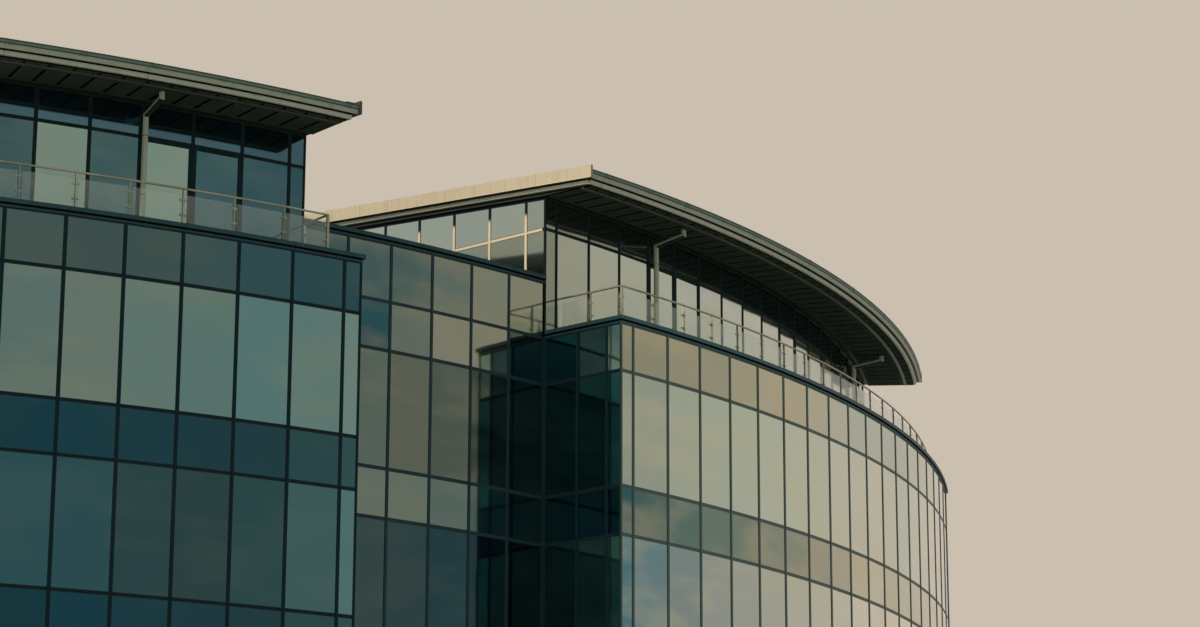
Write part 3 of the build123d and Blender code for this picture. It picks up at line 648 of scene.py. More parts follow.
@dataclass(frozen=True)
class RoofSheet(Coat):
    """Roof of folded metal sheet above and soffit lining below, painted near black as shade, one deck between
    them.
    """

    sheet: str
    stain: str
    lining_shade: str

    def paint(self, graph: Graph) -> None:
        """Paint the sheet, painted shade and a dark head band on its cut ends, and the lining, painted near
        black as shade, on faces that look down.

        Args:
            graph: Node tree of the material.
        """
        patches = graph.pattern(2.5, 2)
        base = graph.cover(self.sheet, self.stain, graph.add(Step.RAMP, patches, 0.3, 0.8))
        # Painted shade: the lowest 160 mm of the deck's cut ends are painted near black, the lowest 50 mm
        # dark like the wall's head
        radius, _, height = graph.polar()
        above = graph.above_slope(radius, height, RECESS, EAVES)
        for top, colour in ((0.16, "#0b1112"), (0.05, "#1a2b2f")):
            base = graph.cover(base, colour, graph.add(Step.LESS_THAN, above, top))
        # Painted shade: faces that look down, seen through the soffit's slots, are painted near black
        base = graph.cover(base, self.lining_shade, graph.add(Step.LESS_THAN, graph.facing(), -0.3))
        graph.surface(base, 0.5, height=patches, depth=0.001, Specular_IOR_Level=0.2)


@dataclass(frozen=True)
class SoffitPan(Coat):
    """Soffit pans: folded sheet, coated dark, with slots between them where air gets in, their sides painted
    black as shade.
    """

    colour: str
    worn: str
    slot: str

    def paint(self, graph: Graph) -> None:
        """Paint the coat on the faces that look down and painted shade, black, on the sides of the slots.

        Args:
            graph: Node tree of the material.
        """
        base = graph.cover(self.colour, self.worn, graph.add(Step.RAMP, graph.pattern(0.9, 3), 0.4, 0.7))
        # Painted shade: every face that does not look down, such as the slots' sides, is painted near black
        base = graph.cover(base, self.slot, graph.add(Step.GREATER_THAN, graph.facing(), -0.9))
        graph.surface(base, 0.8, Specular_IOR_Level=0.0)


@dataclass(frozen=True)
class Rubber(Coat):
    """Extruded rubber gasket: matt black, dusty on its outer face."""

    colour: str
    dust: str

    def paint(self, graph: Graph) -> None:
        """Paint the rubber and patches of dust."""
        base = graph.cover(self.colour, self.dust, graph.add(Step.RAMP, graph.pattern(0.3, 3), 0.5, 0.8))
        graph.surface(base, 0.7)


class Finish(Enum):
    """Finishes of the building, by the piece that wears them."""

    # Lit and shaded copies of one powder coat: the left wing's and the recess's are painted darker as shade,
    # the right wing's paler as painted reflection at grazing angles
    FRAME = PowderCoat("powder_coat_left_painted_shade", "#0c2329", "#143036", sheen=0.05)
    FRAME_RIGHT = PowderCoat("powder_coat_slate", "#2f4743", "#3e5853", sheen=0.4)
    RECESS_FRAME = PowderCoat("powder_coat_recess", "#1c353b", "#274249", sheen=0.1)
    # The top frames' side colour is painted sunlight on the screen at the right top storey's left end
    TOP_FRAME = PowderCoat("powder_coat_top", "#18282a", "#263b3c", sunlit_side_colour="#e6dcbd", sheen=0.02)
    COPING = FoldedCoping("folded_coping", "#33555a", "#3f6064")
    # Lit and shaded copies of one coping: the left wing's and the recess's are painted darker, as shade
    COPING_PAINTED_SHADE = FoldedCoping("folded_coping_painted_shade", "#213f45", "#2c4b51")
    TRIM = PowderCoat("soffit_trim_brown", "#484d3a", "#585a45", streak=0.6, joints=3.0)
    EAVES_STRIP = PowderCoat("eaves_strip_pale", "#9ca595", "#8d9687", streak=0.6, joints=3.0)
    # The rain pipes' under colour is painted shade on their sides that look down
    PIPE = PowderCoat("rain_pipe_paint", "#9aa894", "#849283", streak=0.6, underside_shade="#1d2a26")
    GUTTER = RibbedGutter("ribbed_gutter", "#879282", "#5a7167", "#2b3c37", "#6f7e75")
    VERGE = VergeBoard("verge_board", "#cdc7ac", "#bbb5a0", "#b4c0ac", "#3a4a47")
    ROOF = RoofSheet("folded_roof_sheet", "#7b827c", "#69716c", "#060907")
    BEAD = PowderCoat("head_bead_dark", "#25231a", "#302d21", sheen=0.05)
    SOFFIT = SoffitPan("soffit_pan", "#303e38", "#37453d", "#030504")
    STEEL = BrushedSteel("brushed_steel", "#9aa08c", "#7d8270")
    RAIL_GLASS = ClearGlass("toughened_glass", "#f2f8f4", "#9fc2be", 0.075)
    SLAB = Masonry("cast_concrete", "#8d8b84", "#77756f", slab=0.6)
    RENDER = Masonry("sand_render", "#a8a397", "#a19c91", lifts=STOREY)
    GASKET = Rubber("rubber_gasket", "#141d1f", "#232f31")
    GASKET_PALE = Rubber("rubber_gasket_dusty", "#3c5452", "#4c6462")
    SHEET_GLASS = CoatedGlass("clear_sheet_glass", "#4f6965")
    BACK_PANEL = CoatedGlass("insulated_back_panel", "#2b454b")


class Dresser:
    """Builds each finish once and hands it out."""

    def __init__(self) -> None:
        """Start with no material built."""
        self.built: dict[str, Material] = {}

    def of(self, finish: Finish | Coat) -> Material:
        """Material of a finish.

        Args:
            finish: One of the building's finishes, or a piece's own.

        Returns:
            The material, built at its first use.
        """
        coat = finish.value if isinstance(finish, Finish) else finish
        if coat.name not in self.built:
            self.built[coat.name] = coat.material()
        return self.built[coat.name]


@dataclass
class Piece:
    """A new piece of the building: its points and quads, and what it wears."""

    name: str
    points: np.ndarray
    quads: np.ndarray
    slot: str
    uv: np.ndarray | None = None
    tint: np.ndarray | None = None
    smooth: bool = False

    def build(self, material: Material) -> None:
        """Make the mesh, give it its material and let it ride on the building.

        Args:
            material: Material of the whole piece.
        """
        mesh = bpy.data.meshes.new(self.name)
        points, quads = self.points.reshape(-1, 3), self.quads.astype(np.int32)
        mesh.vertices.add(len(points))
        mesh.vertices.foreach_set("co", points.astype(np.float32).ravel())
        mesh.loops.add(quads.size)
        mesh.loops.foreach_set("vertex_index", quads.ravel())
        mesh.polygons.add(len(quads))
        mesh.polygons.foreach_set("loop_start", np.arange(0, quads.size, 4, dtype=np.int32))
        mesh.polygons.foreach_set("use_smooth", np.full(len(quads), self.smooth))
        mesh.update(calc_edges=True)
        if self.uv is not None:
            layer = mesh.uv_layers.new(name="pane")
            layer.data.foreach_set("uv", self.uv[quads.ravel()].astype(np.float32).ravel())
        if self.tint is not None:
            paint = mesh.attributes.new("tint", "FLOAT_COLOR", "POINT")
            paint.data.foreach_set("color", self.tint.astype(np.float32).ravel())
        mesh.materials.append(material)
        piece = bpy.data.objects.new(self.name, mesh)
        bpy.context.scene.collection.objects.link(piece)
        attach(piece, BODY)
        LOG.info("%s: %d faces", self.name, len(quads))


# Glazing


@dataclass(frozen=True)
class Tint:
    """Colours of one row of panes: hex stops spread evenly along it, and how much its panes vary.

    The stops hold the glass's tint together with painted reflections of the sky and of the walls nearby.
    cloud is the row's share of painted cloud; drawn lists the panes whose blind is down.
    """

    stops: str
    scatter: float = 0.08
    cloud: float = 1.0
    drawn: tuple[int, ...] = ()
    blind: str = "#b4dbd6"

    def colours(self, count: int, random: Random) -> np.ndarray:
        """Linear colour of each pane of a row.

        Args:
            count: Number of panes.
            random: Source of the small differences between panes.

        Returns:
            One row of red, green, blue and share of cloud for each pane.
        """
        stops = np.array([linear(stop)[:3] for stop in self.stops.split()])
        place, marks = np.linspace(0, 1, count), np.linspace(0, 1, len(stops))
        colours = np.stack([np.interp(place, marks, stops[:, k]) for k in range(3)], axis=1)
        for pane in self.drawn:
            if pane < count:
                colours[pane] = linear(self.blind)[:3]
        level = 1 + self.scatter * random.uniform(-1, 1, (count, 1))
        warm = self.scatter * 0.5 * random.uniform(-1, 1, (count, 1)) * np.array([[1, 0, -1]])
        return np.hstack([np.clip(colours * level * (1 + warm), 0, 1), np.full((count, 1), self.cloud)])


@dataclass
class Run:
    """A stretch of wall: the plan points of its outer face, with a corner at either end."""

    points: np.ndarray

    def panes(self, depth: float, low: float, high: float, sloping: bool = False) -> Shape:
        """Corners and outward normals of a row of panes, one in each bay between its upright bars.

        Args:
            depth: Distance of the panes behind the wall's outer face.
            low: Level of their sill.
            high: Level of their head, or its distance below the roof where it is sloping.
            sloping: Whether the heads follow the slope of the roof.

        Returns:
            Four corners of each pane, anticlockwise from outside, and its outward normal.
        """
        start, end = self.points[:-1], self.points[1:]
        along = (end - start) / np.linalg.norm(end - start, axis=1, keepdims=True)
        inward = np.stack([-along[:, 1], along[:, 0]], axis=1)
        legs = np.full(len(self.points), MULLION / 2)
        legs[[0, -1]] = CORNER_LEG
        first = start + along * legs[:-1, None] + inward * depth
        last = end - along * legs[1:, None] + inward * depth
        heads = [underside(reach(p)) - high if sloping else high for p in (first, last)]
        square = [raised(first, low), raised(last, low), raised(last, heads[1]), raised(first, heads[0])]
        return np.stack(square, axis=1), raised(-inward, 0.0)


def arc_run(radius: float, first: float, step: float, count: int, ends: Ends = (None, None)) -> Run:
    """Run along an arc of equal bays.

    Args:
        radius: Radius of the arc.
        first: Angle of the first bar.
        step: Angle of a bay, negative towards the left.
        count: Number of bays.
        ends: Angles of an extra point before and after them, where there is one.

    Returns:
        The run.
    """
    angles = [ends[0], *(first + step * np.arange(count + 1)), ends[1]]
    return Run(spot(radius, np.array([angle for angle in angles if angle is not None])))


def side_run(angle: float, radii: list[float]) -> Run:
    """Run along a radial wall through these radii."""
    return Run(spot(np.array(radii), angle))


def side_radii(front: float, back: float) -> list[float]:
    """Radii of the bars of a radial wall, from its front corner to its back corner."""
    count = int((front - SIDE_CORNER - back) / SIDE_BAY + 0.5)
    return [front] + [front - SIDE_CORNER - SIDE_BAY * k for k in range(count)] + [back]


def pane_rows() -> tuple[list[Span], list[Span]]:
    """Levels of the rows of panes from the ground to the terrace.

    Returns:
        Low and high levels of the vision panes, then of the spandrel panes, storey by storey.
    """
    vision, spandrel = [], []
    for storey in range(STOREYS):
        floor = PLINTH + storey * STOREY
        sill = floor + (TRANSOM / 2 if storey else TRANSOM)
        vision.append((sill, floor + VISION - TRANSOM / 2))
        head = floor + STOREY - (TRANSOM / 2 if storey < STOREYS - 1 else TOP_RAIL)
        spandrel.append((floor + VISION + TRANSOM / 2, head))
    return vision, spandrel


def ring_shape(square: np.ndarray, out: np.ndarray, width: float, proud: float) -> Shape:
    """Flat rings inside panes: four loops of corners, on the glass, proud, and inside again.

    Args:
        square: Four corners of each pane, anticlockwise from outside.
        out: Outward normal of each pane.
        width: Width of the ring.
        proud: Height of its face in front of the pane.

    Returns:
        Points and quads of the rings.
    """
    along = square[:, 1:2] - square[:, 0:1]
    along = along / np.linalg.norm(along, axis=2, keepdims=True) * width
    rise = np.array([0, 0, width])
    signs = np.array([[1, 1], [-1, 1], [-1, -1], [1, -1]])
    inner = square + along * signs[None, :, :1] + rise * signs[None, :, 1:]
    lift = out[:, None, :] * proud
    rings = np.stack([square + lift * 0.2, square + lift, inner + lift, inner + lift * 0.1], axis=1)
    return rings.reshape(-1, 3), repeated(grid_quads(4, 4, closed=True), len(square), 16)


@dataclass
class Row:
    """A row of panes along a run; where it slopes, high is the heads' distance below the roof."""

    run: Run
    low: float
    high: float
    tint: Tint
    sloping: bool = False


@dataclass
class Glazing:
    """Panes of one wall, each a slightly cushioned sheet in a rubber gasket."""

    name: str
    slot: str
    look: CoatedGlass
    rows: list[Row]
    seal: Finish = Finish.GASKET
    depth: float = 0.014
    cushion: float = 0.0015
    gasket: float = 0.01
    proud: float = 0.003
    steps: int = 5

    def build(self, dresser: Dresser, random: Random) -> None:
        """Build the panes and their gaskets.

        A pane is its four corners blended on a grid, moved out by a cushion that is highest in
        the middle: cushion * (1 - s^2) * (1 - t^2), with s and t from -1 to 1 across the pane.

        Args:
            dresser: Source of the materials.
            random: Source of the small differences between the panes' colours and cushions.
        """
        panes = [row.run.panes(self.depth, row.low, row.high, row.sloping) for row in self.rows]
        colours = [row.tint.colours(len(part[0]), random) for row, part in zip(self.rows, panes)]
        square, out = (np.concatenate(parts) for parts in zip(*panes))
        count, grid = len(square), self.steps**2
        line = np.linspace(0, 1, self.steps)
        t, s = np.meshgrid(line, line, indexing="ij")
        weights = np.stack([(1 - s) * (1 - t), s * (1 - t), s * t, (1 - s) * t], axis=-1).reshape(-1, 4)
        points = np.einsum("gc,ncx->ngx", weights, square)
        bulge = ((1 - (2 * s - 1) ** 2) * (1 - (2 * t - 1) ** 2)).ravel()
        size = self.cushion * random.uniform(-0.4, 1.0, count)
        points = points + out[:, None, :] * (size[:, None] * bulge)[..., None]
        width = np.linalg.norm(square[:, 1] - square[:, 0], axis=1)
        height = square[:, 2, 2] - square[:, 1, 2]
        shift = random.uniform(0, 5, (count, 1))
        uv = np.stack([s.ravel() * width[:, None] + shift, t.ravel() * height[:, None]], axis=-1)
        quads = repeated(grid_quads(self.steps, self.steps), count, grid)
        tint = np.repeat(np.concatenate(colours), grid, axis=0)
        sheets = Piece(f"{self.name}_panes", points, quads, self.slot, uv.reshape(-1, 2), tint, smooth=True)
        sheets.build(dresser.of(self.look))
        rings = ring_shape(square, out, self.gasket, self.proud)
        Piece(f"{self.name}_gaskets", *rings, "dark_frame").build(dresser.of(self.seal))


@dataclass
class Wall:
    """A wall below the terrace and the looks of its vision panes and spandrels.

    clear and opaque hold the tints, with their painted reflections, of their top rows and of the rows
    below; clouds holds the colours of the painted clouds in either.
    """

    name: str
    run: Run
    clouds: tuple[str, str]
    clear: tuple[Tint, Tint]
    opaque: tuple[Tint, Tint]
    slot: str = "spandrel_right"
    seal: Finish = Finish.GASKET
    folds: float = 0.0


class Facades:
    """All panes of the building: two wings, the recess between them, the back and the top storeys."""

    def __init__(self, dresser: Dresser) -> None:
        """Lay out the walls from the ground to the terrace.

        Args:
            dresser: Source of the materials.
        """
        self.dresser = dresser
        self.random = np.random.default_rng(SEED)
        bays = (LEFT_BAYS + RECESS_BAYS + RIGHT_BAYS) // 2
        returns = [FRONT] + [FRONT - s for s in RETURN_STEPS] + [RECESS]
        self.recess = arc_run(RECESS, LEFT_CORNER, BAY, RECESS_BAYS)
        grey = Tint("#93b2af #84a3a6")
        self.walls = (
            Wall(
                "left",
                arc_run(FRONT, LEFT_END, BAY, LEFT_BAYS, (None, LEFT_CORNER)),
                ("#94a795", "#5f7468"),
                (
                    Tint("#54858e #809e9e #739c9d #699aa4 #83acaf", 0.05),
                    Tint("#37697a #386877 #36555e #39626b #5f909b", 0.05, 0.15),
                ),
                (Tint("#536f75 #4c6a71 #3f6876 #2d5c6f"), Tint("#1d4c5d #204e61 #284e5c #3b6670", 0.06, 0.2)),
                slot="spandrel_left",
                folds=0.025,
            ),
            Wall(
                "recess",
                self.recess,
                ("#8f9684", "#a59f86"),
                (
                    Tint("#5b9eb3 #68817f #6f7e76 #5d716d #435050 #355558", 0.0),
                    Tint("#8b8a74 #405e64 #385660 #2b505d #244755 #2d4043", 0.02, 0.15),
                ),
                (
                    Tint("#3a7283 #346573 #748b88 #95a298 #99a194 #46605f", 0.0),
                    Tint("#134b66 #778f8b #778f8b #688587 #507276 #3f595e", 0.02, 0.5),
                ),
                slot="spandrel_recess",
            ),
            Wall(
                "right",
                arc_run(FRONT, RIGHT_CORNER + CORNER, BAY, RIGHT_BAYS, (RIGHT_CORNER, RIGHT_END)),
                ("#dad9bd", "#cfc9ab"),
                (
                    Tint("#a5b9b3 #c5d9cf #d1e0d6 #e0e8e0 #dae6e1 #f0f3ed #ffffff", 0.03),
                    Tint("#4c8ca3 #acbcbd #d1dad2 #eceee3 #f4f1e4 #fbf8ee #ffffff", 0.03),
                ),
                (
                    Tint("#a1a796 #b3b8a7 #cdcebb #c6d5d2 #d0ded9 #e8ece8 #ffffff", 0.04),
                    Tint("#356b77 #7a968f #9fa9a0 #ddddc8 #d0d9cf #f9f5e7 #ffffff", 0.04),
                ),
                seal=Finish.GASKET_PALE,
            ),
            Wall(
                "left_return",
                side_run(LEFT_CORNER, returns),
                ("#2a4a46", "#24413f"),
                (Tint("#0b2428 #11292b"),) * 2,
                (Tint("#0a2026 #0c242b"),) * 2,
                slot="spandrel_recess",
            ),
            Wall(
                "right_return",
                side_run(RIGHT_CORNER, [RECESS] + [FRONT - s for s in RETURN_STEPS[::-1]] + [FRONT]),
                ("#0a2226", "#0c252a"),
                (Tint("#2a565e #265b67 #428e9a"), Tint("#45787a #5b847e #7db9ac")),
                # The top spandrels grow pale towards the front corner: painted sunlight on the return's upper
                # corner
                (Tint("#235d71 #4c7483 #c4eae9", 0.0), Tint("#275968 #295b6d #21596b")),
                slot="spandrel_recess",
            ),
            Wall(
                "end",
                side_run(RIGHT_END, side_radii(FRONT, BACK)),
                ("#d2d6bd", "#b7b59c"),
                (Tint("#c4d6cf #b0c8c4"), Tint("#b0c8c4 #a0bcba")),
                (Tint("#a9b3a6 #93a5a2"), Tint("#8fa3a2 #7f9799")),
                seal=Finish.GASKET_PALE,
            ),
            Wall(
                "back",
                arc_run(BACK, RIGHT_END - 1.5 * CORNER, -2 * BAY, bays, (RIGHT_END, LEFT_END)),
                ("#b9c0a8", "#8f957f"),
                (Tint("#a8c2bd #93b2af #8fabac"), grey),
                (Tint("#839692 #6f888a #64808a"), Tint("#6d868b #587784")),
            ),
        )

    def build(self) -> None:
        """Build every wall's panes, from the ground up."""
        for wall in self.walls:
            self.build_wall(wall)
        self.build_parapet()
        self.build_top_storeys()

    def build_wall(self, wall: Wall) -> None:
        """Panes of a wall from the ground to the terrace: vision rows, then the spandrels over them.

        Args:
            wall: The wall.
        """
        vision, spandrel = pane_rows()
        for kind, slot, levels, (top, lower), folds, cloud in (
            ("vision", "vision_glass", vision, wall.clear, wall.folds, wall.clouds[0]),
            ("spandrel", wall.slot, spandrel, wall.opaque, 0.0, wall.clouds[1]),
        ):
            tints = [lower] * (STOREYS - 1) + [top]
            rows = [Row(wall.run, *level, tint) for level, tint in zip(levels, tints)]
            look = CoatedGlass(f"{wall.name}_{kind}_glass", cloud, folds=folds)
            Glazing(f"{wall.name}_{kind}", slot, look, rows, wall.seal).build(self.dresser, self.random)

    def build_parapet(self) -> None:
        """Panes of the recess wall above the terrace, up to its own coping."""
        tint = Tint("#4a6f79 #55787d #5a7d83 #8f9e93 #a1a99a", 0.05)
        row = Row(self.recess, TERRACE + TRANSOM / 2, PARAPET_TOP - COPING_LOW - TOP_RAIL, tint)
        look = CoatedGlass("parapet_glass", "#a9a48a")
        Glazing("parapet", "spandrel_recess", look, [row]).build(self.dresser, self.random)

    def build_top_storeys(self) -> None:
        """Panes and door frames of the two top storeys, and the glass in the right one's side."""
        side = side_radii(RECESS, TOP_BACK)
        bays, ends = (LEFT_BAYS + 1) // 2 - 1, (LEFT_CORNER, LEFT_END)
        left_back = arc_run(TOP_BACK, LEFT_CORNER - CORNER, -2 * BAY, bays, ends)
        front_left = arc_run(RECESS, LEFT_END, BAY, LEFT_BAYS, (None, LEFT_CORNER))
        front_right = arc_run(RECESS, RIGHT_CORNER + CORNER, BAY, RIGHT_BAYS, (RIGHT_CORNER, RIGHT_END))
        bays, ends = RIGHT_BAYS // 2, (RIGHT_END, RIGHT_CORNER)
        right_back = arc_run(TOP_BACK, RIGHT_END - CORNER, -2 * BAY, bays, ends)
        # The left top storey's side faces away from the sun: its panes are painted dim, as shade, and without
        # clouds
        grey, shaded_side_tint = Tint("#93b2af #84a3a6"), Tint("#2c4847 #344f4d", 0.08, 0.0)
        low = Tint("#406b79 #4e767f #457280 #336275", 0.05, 0.4, (0, 2, 4), "#8fb0aa")
        high = Tint("#4f7688 #4a7184", 0.08, 0.0)
        walls = [(front_left, low, high), (side_run(LEFT_CORNER, side), shaded_side_tint, shaded_side_tint), (left_back, grey, grey)]
        self.build_top("left_top", CoatedGlass("left_top_glass", "#aab8a0", 0.2), walls)
        stops = "#b2c1b6 #c4d1ca #cfdad6 #dbe4e0 #d4dcd8 #e6ebe4 #ffffff"
        low = Tint(stops, 0.05, 1.0, (0,), "#929e94")
        high = Tint("#989f96 #7d9690 #6b9290", 0.08, 0.0)
        walls = [(front_right, low, high), (side_run(RIGHT_END, side), grey, grey), (right_back, grey, grey)]
        self.build_top("right_top", CoatedGlass("right_top_glass", "#aab8a0", 0.2), walls)
        self.build_doors(((front_left, [4, 5]), (front_right, [4, 5, 10, 11])))
        low = Tint("#6f8e90 #7a9596 #94a7a2 #9aaca5", 0.04)
        high = Tint("#8ca1a3 #b6cbcc #b2c8c9 #aec2bf", 0.04)
        walls = [(side_run(RIGHT_CORNER, side[::-1]), low, high)]
        self.build_top("gable", CoatedGlass("gable_glass", "#b9c4b4", 0.25), walls)

    def build_top(self, name: str, look: CoatedGlass, walls: list[tuple[Run, Tint, Tint]]) -> None:
        """Panes above the terrace, in two rows whose upper one follows the slope of the roof.

        Args:
            name: Name of the group of walls.
            look: Their glass.
            walls: Each wall's run, with the tints of its lower and of its upper row.
        """
        rows = []
        for run, low, high in walls:
            rows += [Row(run, *TOP_LOW, low), Row(run, TOP_SILL, HEAD_GAP, high, sloping=True)]
        Glazing(name, "vision_glass", look, rows).build(self.dresser, self.random)

    def build_doors(
        self,
        fronts: tuple[tuple[Run, list[int]], ...],
        depth: float = 0.0135,
        width: float = 0.055,
        proud: float = 0.011,
    ) -> None:
        """Frames of the terrace doors, inside pairs of bays of each top storey.

        Args:
            fronts: Runs of wall, each with the numbers of its bays that are doors.
            depth: Distance of the frames' back behind the wall's outer face.
            width: Width of their bars.
            proud: Height of their face in front of the glass.
        """
        shapes = []
        for front, bays in fronts:
            square, out = front.panes(depth, *TOP_LOW)
            shapes.append(ring_shape(square[bays], out[bays], width, proud))
        Piece("terrace_door_frames", *joined(shapes), "top_frame").build(self.dresser.of(Finish.TOP_FRAME))


# Roofs


def roof_ends() -> tuple[Span, Span]:
    """First and last plan angles of the two roofs, out to the inner faces of their verge boards."""
    return (LEFT_END, LEFT_CORNER + VERGE_TURN), (RIGHT_CORNER - VERGE_TURN, RIGHT_END + VERGE_TURN)


def swept(profile: np.ndarray, first: float, last: float, step: float = 0.9) -> Shape:
    """A closed section carried along an arc, with its two ends closed by four-sided faces.

    The points are spot(radius, angle) at the section's height, for each of its four corners and
    for angles spread evenly from the first to the last.

    Args:
        profile: Four corners of the section as radius and height, clockwise seen with the radius
            to the right.
        first: First plan angle.
        last: Last plan angle.
        step: Greatest step between angles.

    Returns:
        Points and quads, facing outwards.
    """
    angles = np.linspace(first, last, int(np.ceil((last - first) / step)) + 1)
    radius = np.broadcast_to(profile[:, 0], (len(angles), 4))
    points = raised(spot(radius, np.broadcast_to(angles[:, None], radius.shape)), profile[:, 1])
    final = 4 * (len(angles) - 1)
    caps = np.array([[0, 1, 2, 3], [final + 3, final + 2, final + 1, final]])
    return points.reshape(-1, 3), np.concatenate([grid_quads(len(angles), 4, closed=True)[:, ::-1], caps])


def bar_section(near: float, far: float, drop: float) -> np.ndarray:
    """Section of a flat bar under the soffit, from one radius to another and hanging by a drop."""
    heights = [soffit(near) - SKIN, soffit(far) - SKIN, soffit(far) - drop, soffit(near) - drop]
    return np.stack([np.array([near, far, far, near]), np.array(heights)], axis=1)


@dataclass
class Soffit:
    """Lining of the roofs' overhang: two rows of shallow pans and their end bands.

    leads are the angles from each roof's end at the recess to its first slot.
    """

    drop: float = 0.03
    bevel: float = 0.004
    gap: float = 0.06
    pitch: float = 0.51
    leads: tuple[float, float] = (0.63, 0.48)
    inset: float = 0.13
    border: float = 0.11

    def build(self, dresser: Dresser) -> None:
        """Build the pans and, at the ends of their slots, the bands that close them.

        Args:
            dresser: Source of the materials.
        """
        shapes = []
        inner, outer = TRIM - TRIM_WIDTH / 2, TRIM + TRIM_WIDTH / 2
        for angles in self.slots():
            for near, far in ((RECESS + self.inset, inner - 0.004), (outer + 0.004, NOSE - 0.006)):
                edge = min(self.border, (far - near) / 5)
                shapes.append(self.pans(angles, near + edge - 0.002, far - edge + 0.002))
                for start, end in ((near, near + edge), (far - edge, far)):
                    shapes.append(swept(bar_section(start, end, self.drop), angles[0], angles[-1]))
        Piece("soffit_pans", *joined(shapes), "roof_sheet").build(dresser.of(Finish.SOFFIT))

    def slots(self) -> list[np.ndarray]:
        """Places of the slots, counted from the roofs' ends that face the recess.

        Returns:
            For each roof, the plan angles of its first end, its slots and its last end.
        """
        (left, inner_left), (inner_right, right) = roof_ends()
        step = float(np.degrees(self.pitch / NOSE))
        west = np.arange(inner_left - self.leads[0], left + 0.2, -step)[::-1]
        east = np.arange(inner_right + self.leads[1], right - 0.2, step)
        return [np.concatenate([[left], west, [inner_left]]), np.concatenate([[inner_right], east, [right]])]

    def pans(self, angles: np.ndarray, near: float, far: float) -> Shape:
        """A row of pans between two radii.

        A pan is a grid of four by four points over an angle and a radius: its rim lies on the
        deck and its middle hangs lower by the drop.

        Args:
            angles: Plan angles of the row's ends and slots.
            near: Smaller radius.
            far: Larger radius.

        Returns:
            Points and quads of the pans.
        """
        half = np.degrees(self.gap / 2 / far)
        start, end = angles[:-1] + half, angles[1:] - half
        start[0], end[-1] = angles[0], angles[-1]
        share = np.array([0, self.bevel / 0.5, 1 - self.bevel / 0.5, 1])
        turns = start[:, None] + (end - start)[:, None] * share
        radii = np.array([near, near + self.bevel, far - self.bevel, far])
        lift = np.array([0.0, 1.0, 1.0, 0.0])
        radius = np.broadcast_to(radii, (len(start), 4, 4))
        angle = np.broadcast_to(turns[:, :, None], radius.shape)
        drop = SKIN + self.drop * lift[:, None] * lift[None, :]
        points = raised(spot(radius, angle), soffit(radius) - drop)
        return points.reshape(-1, 3), repeated(grid_quads(4, 4)[:, ::-1], len(start), 16)


@dataclass
class HeadTrim:
    """Dark bead that closes the joint between the top storeys' front walls and the soffit."""

    width: float = 0.03
    drop: float = 0.034
    off_wall: float = 0.003

    def build(self, dresser: Dresser) -> None:
        """Build the beads: a flat section carried along each front wall, just outside its bars.

        Args:
            dresser: Source of the materials.
        """
        near = RECESS + self.off_wall
        section = bar_section(near, near + self.width, self.drop)
        shapes = [swept(section, first, last) for first, last in WINGS]
        Piece("wall_head_beads", *joined(shapes), "trim").build(dresser.of(Finish.BEAD))


@dataclass
class RoofSeams:
    """Upstanding seams of the roof sheets: narrow folded ribs that run up the slope."""

    height: float = 0.028
    width: float = 0.022
    step: float = BAY / 2

    def build(self, dresser: Dresser) -> None:
        """Build the seams: each a four-sided bar from the gutter to the roof's back edge.

        Args:
            dresser: Source of the materials.
        """
        turns = np.concatenate([np.arange(a + 0.3, b - 0.2, self.step) for a, b in roof_ends()])
        ends = [raised(spot(r, turns), roof_top(r) - 0.002) for r in (NOSE - 0.02, ROOF_BACK + 0.02)]
        side = np.stack([np.cos(np.radians(turns)), np.sin(np.radians(turns)), np.zeros(len(turns))], axis=1)
        half, rise = side * self.width / 2, np.array([0, 0, self.height])
        outline = [ends[0] - half, ends[0] - half + rise, ends[0] + half + rise, ends[0] + half]
        bars = prism_shape(np.stack(outline, axis=1), ends[1] - ends[0])
        Piece("roof_seams", *bars, "roof_sheet").build(dresser.of(Finish.ROOF))


@dataclass
class GutterStraps:
    """Cover straps over the gutter's butt joints, at a spacing along the eaves."""

    spacing: float = 3.0
    width: float = 0.05
    proud: float = 0.003
    lip: float = 0.03

    def build(self, dresser: Dresser) -> None:
        """Build the straps: the gutter's section, a little proud, carried over a short angle.

        Args:
            dresser: Source of the materials.
        """
        heights = np.linspace(GUTTER_TOP - GUTTER_HEIGHT, GUTTER_TOP, 5)
        radii = GUTTER - GUTTER_LEAN / GUTTER_HEIGHT * (GUTTER_TOP - heights) + self.proud
        radii, heights = np.append(radii, radii[-1] - self.lip), np.append(heights, GUTTER_TOP + self.proud)
        step = np.degrees(self.spacing / FRONT)
        starts = [np.arange(np.ceil(a / step), np.floor(b / step) + 1) * step for a, b in WINGS]
        starts = np.concatenate(starts)
        turns = starts[:, None] + np.degrees(self.width / GUTTER) * np.array([0.0, 0.5, 1.0])
        radius = np.broadcast_to(radii, (len(starts), 3, len(radii)))
        points = raised(spot(radius, np.broadcast_to(turns[:, :, None], radius.shape)), heights)
        quads = repeated(grid_quads(3, len(radii))[:, ::-1], len(starts), 3 * len(radii))
        Piece("gutter_straps", points, quads, "gutter").build(dresser.of(Finish.GUTTER))


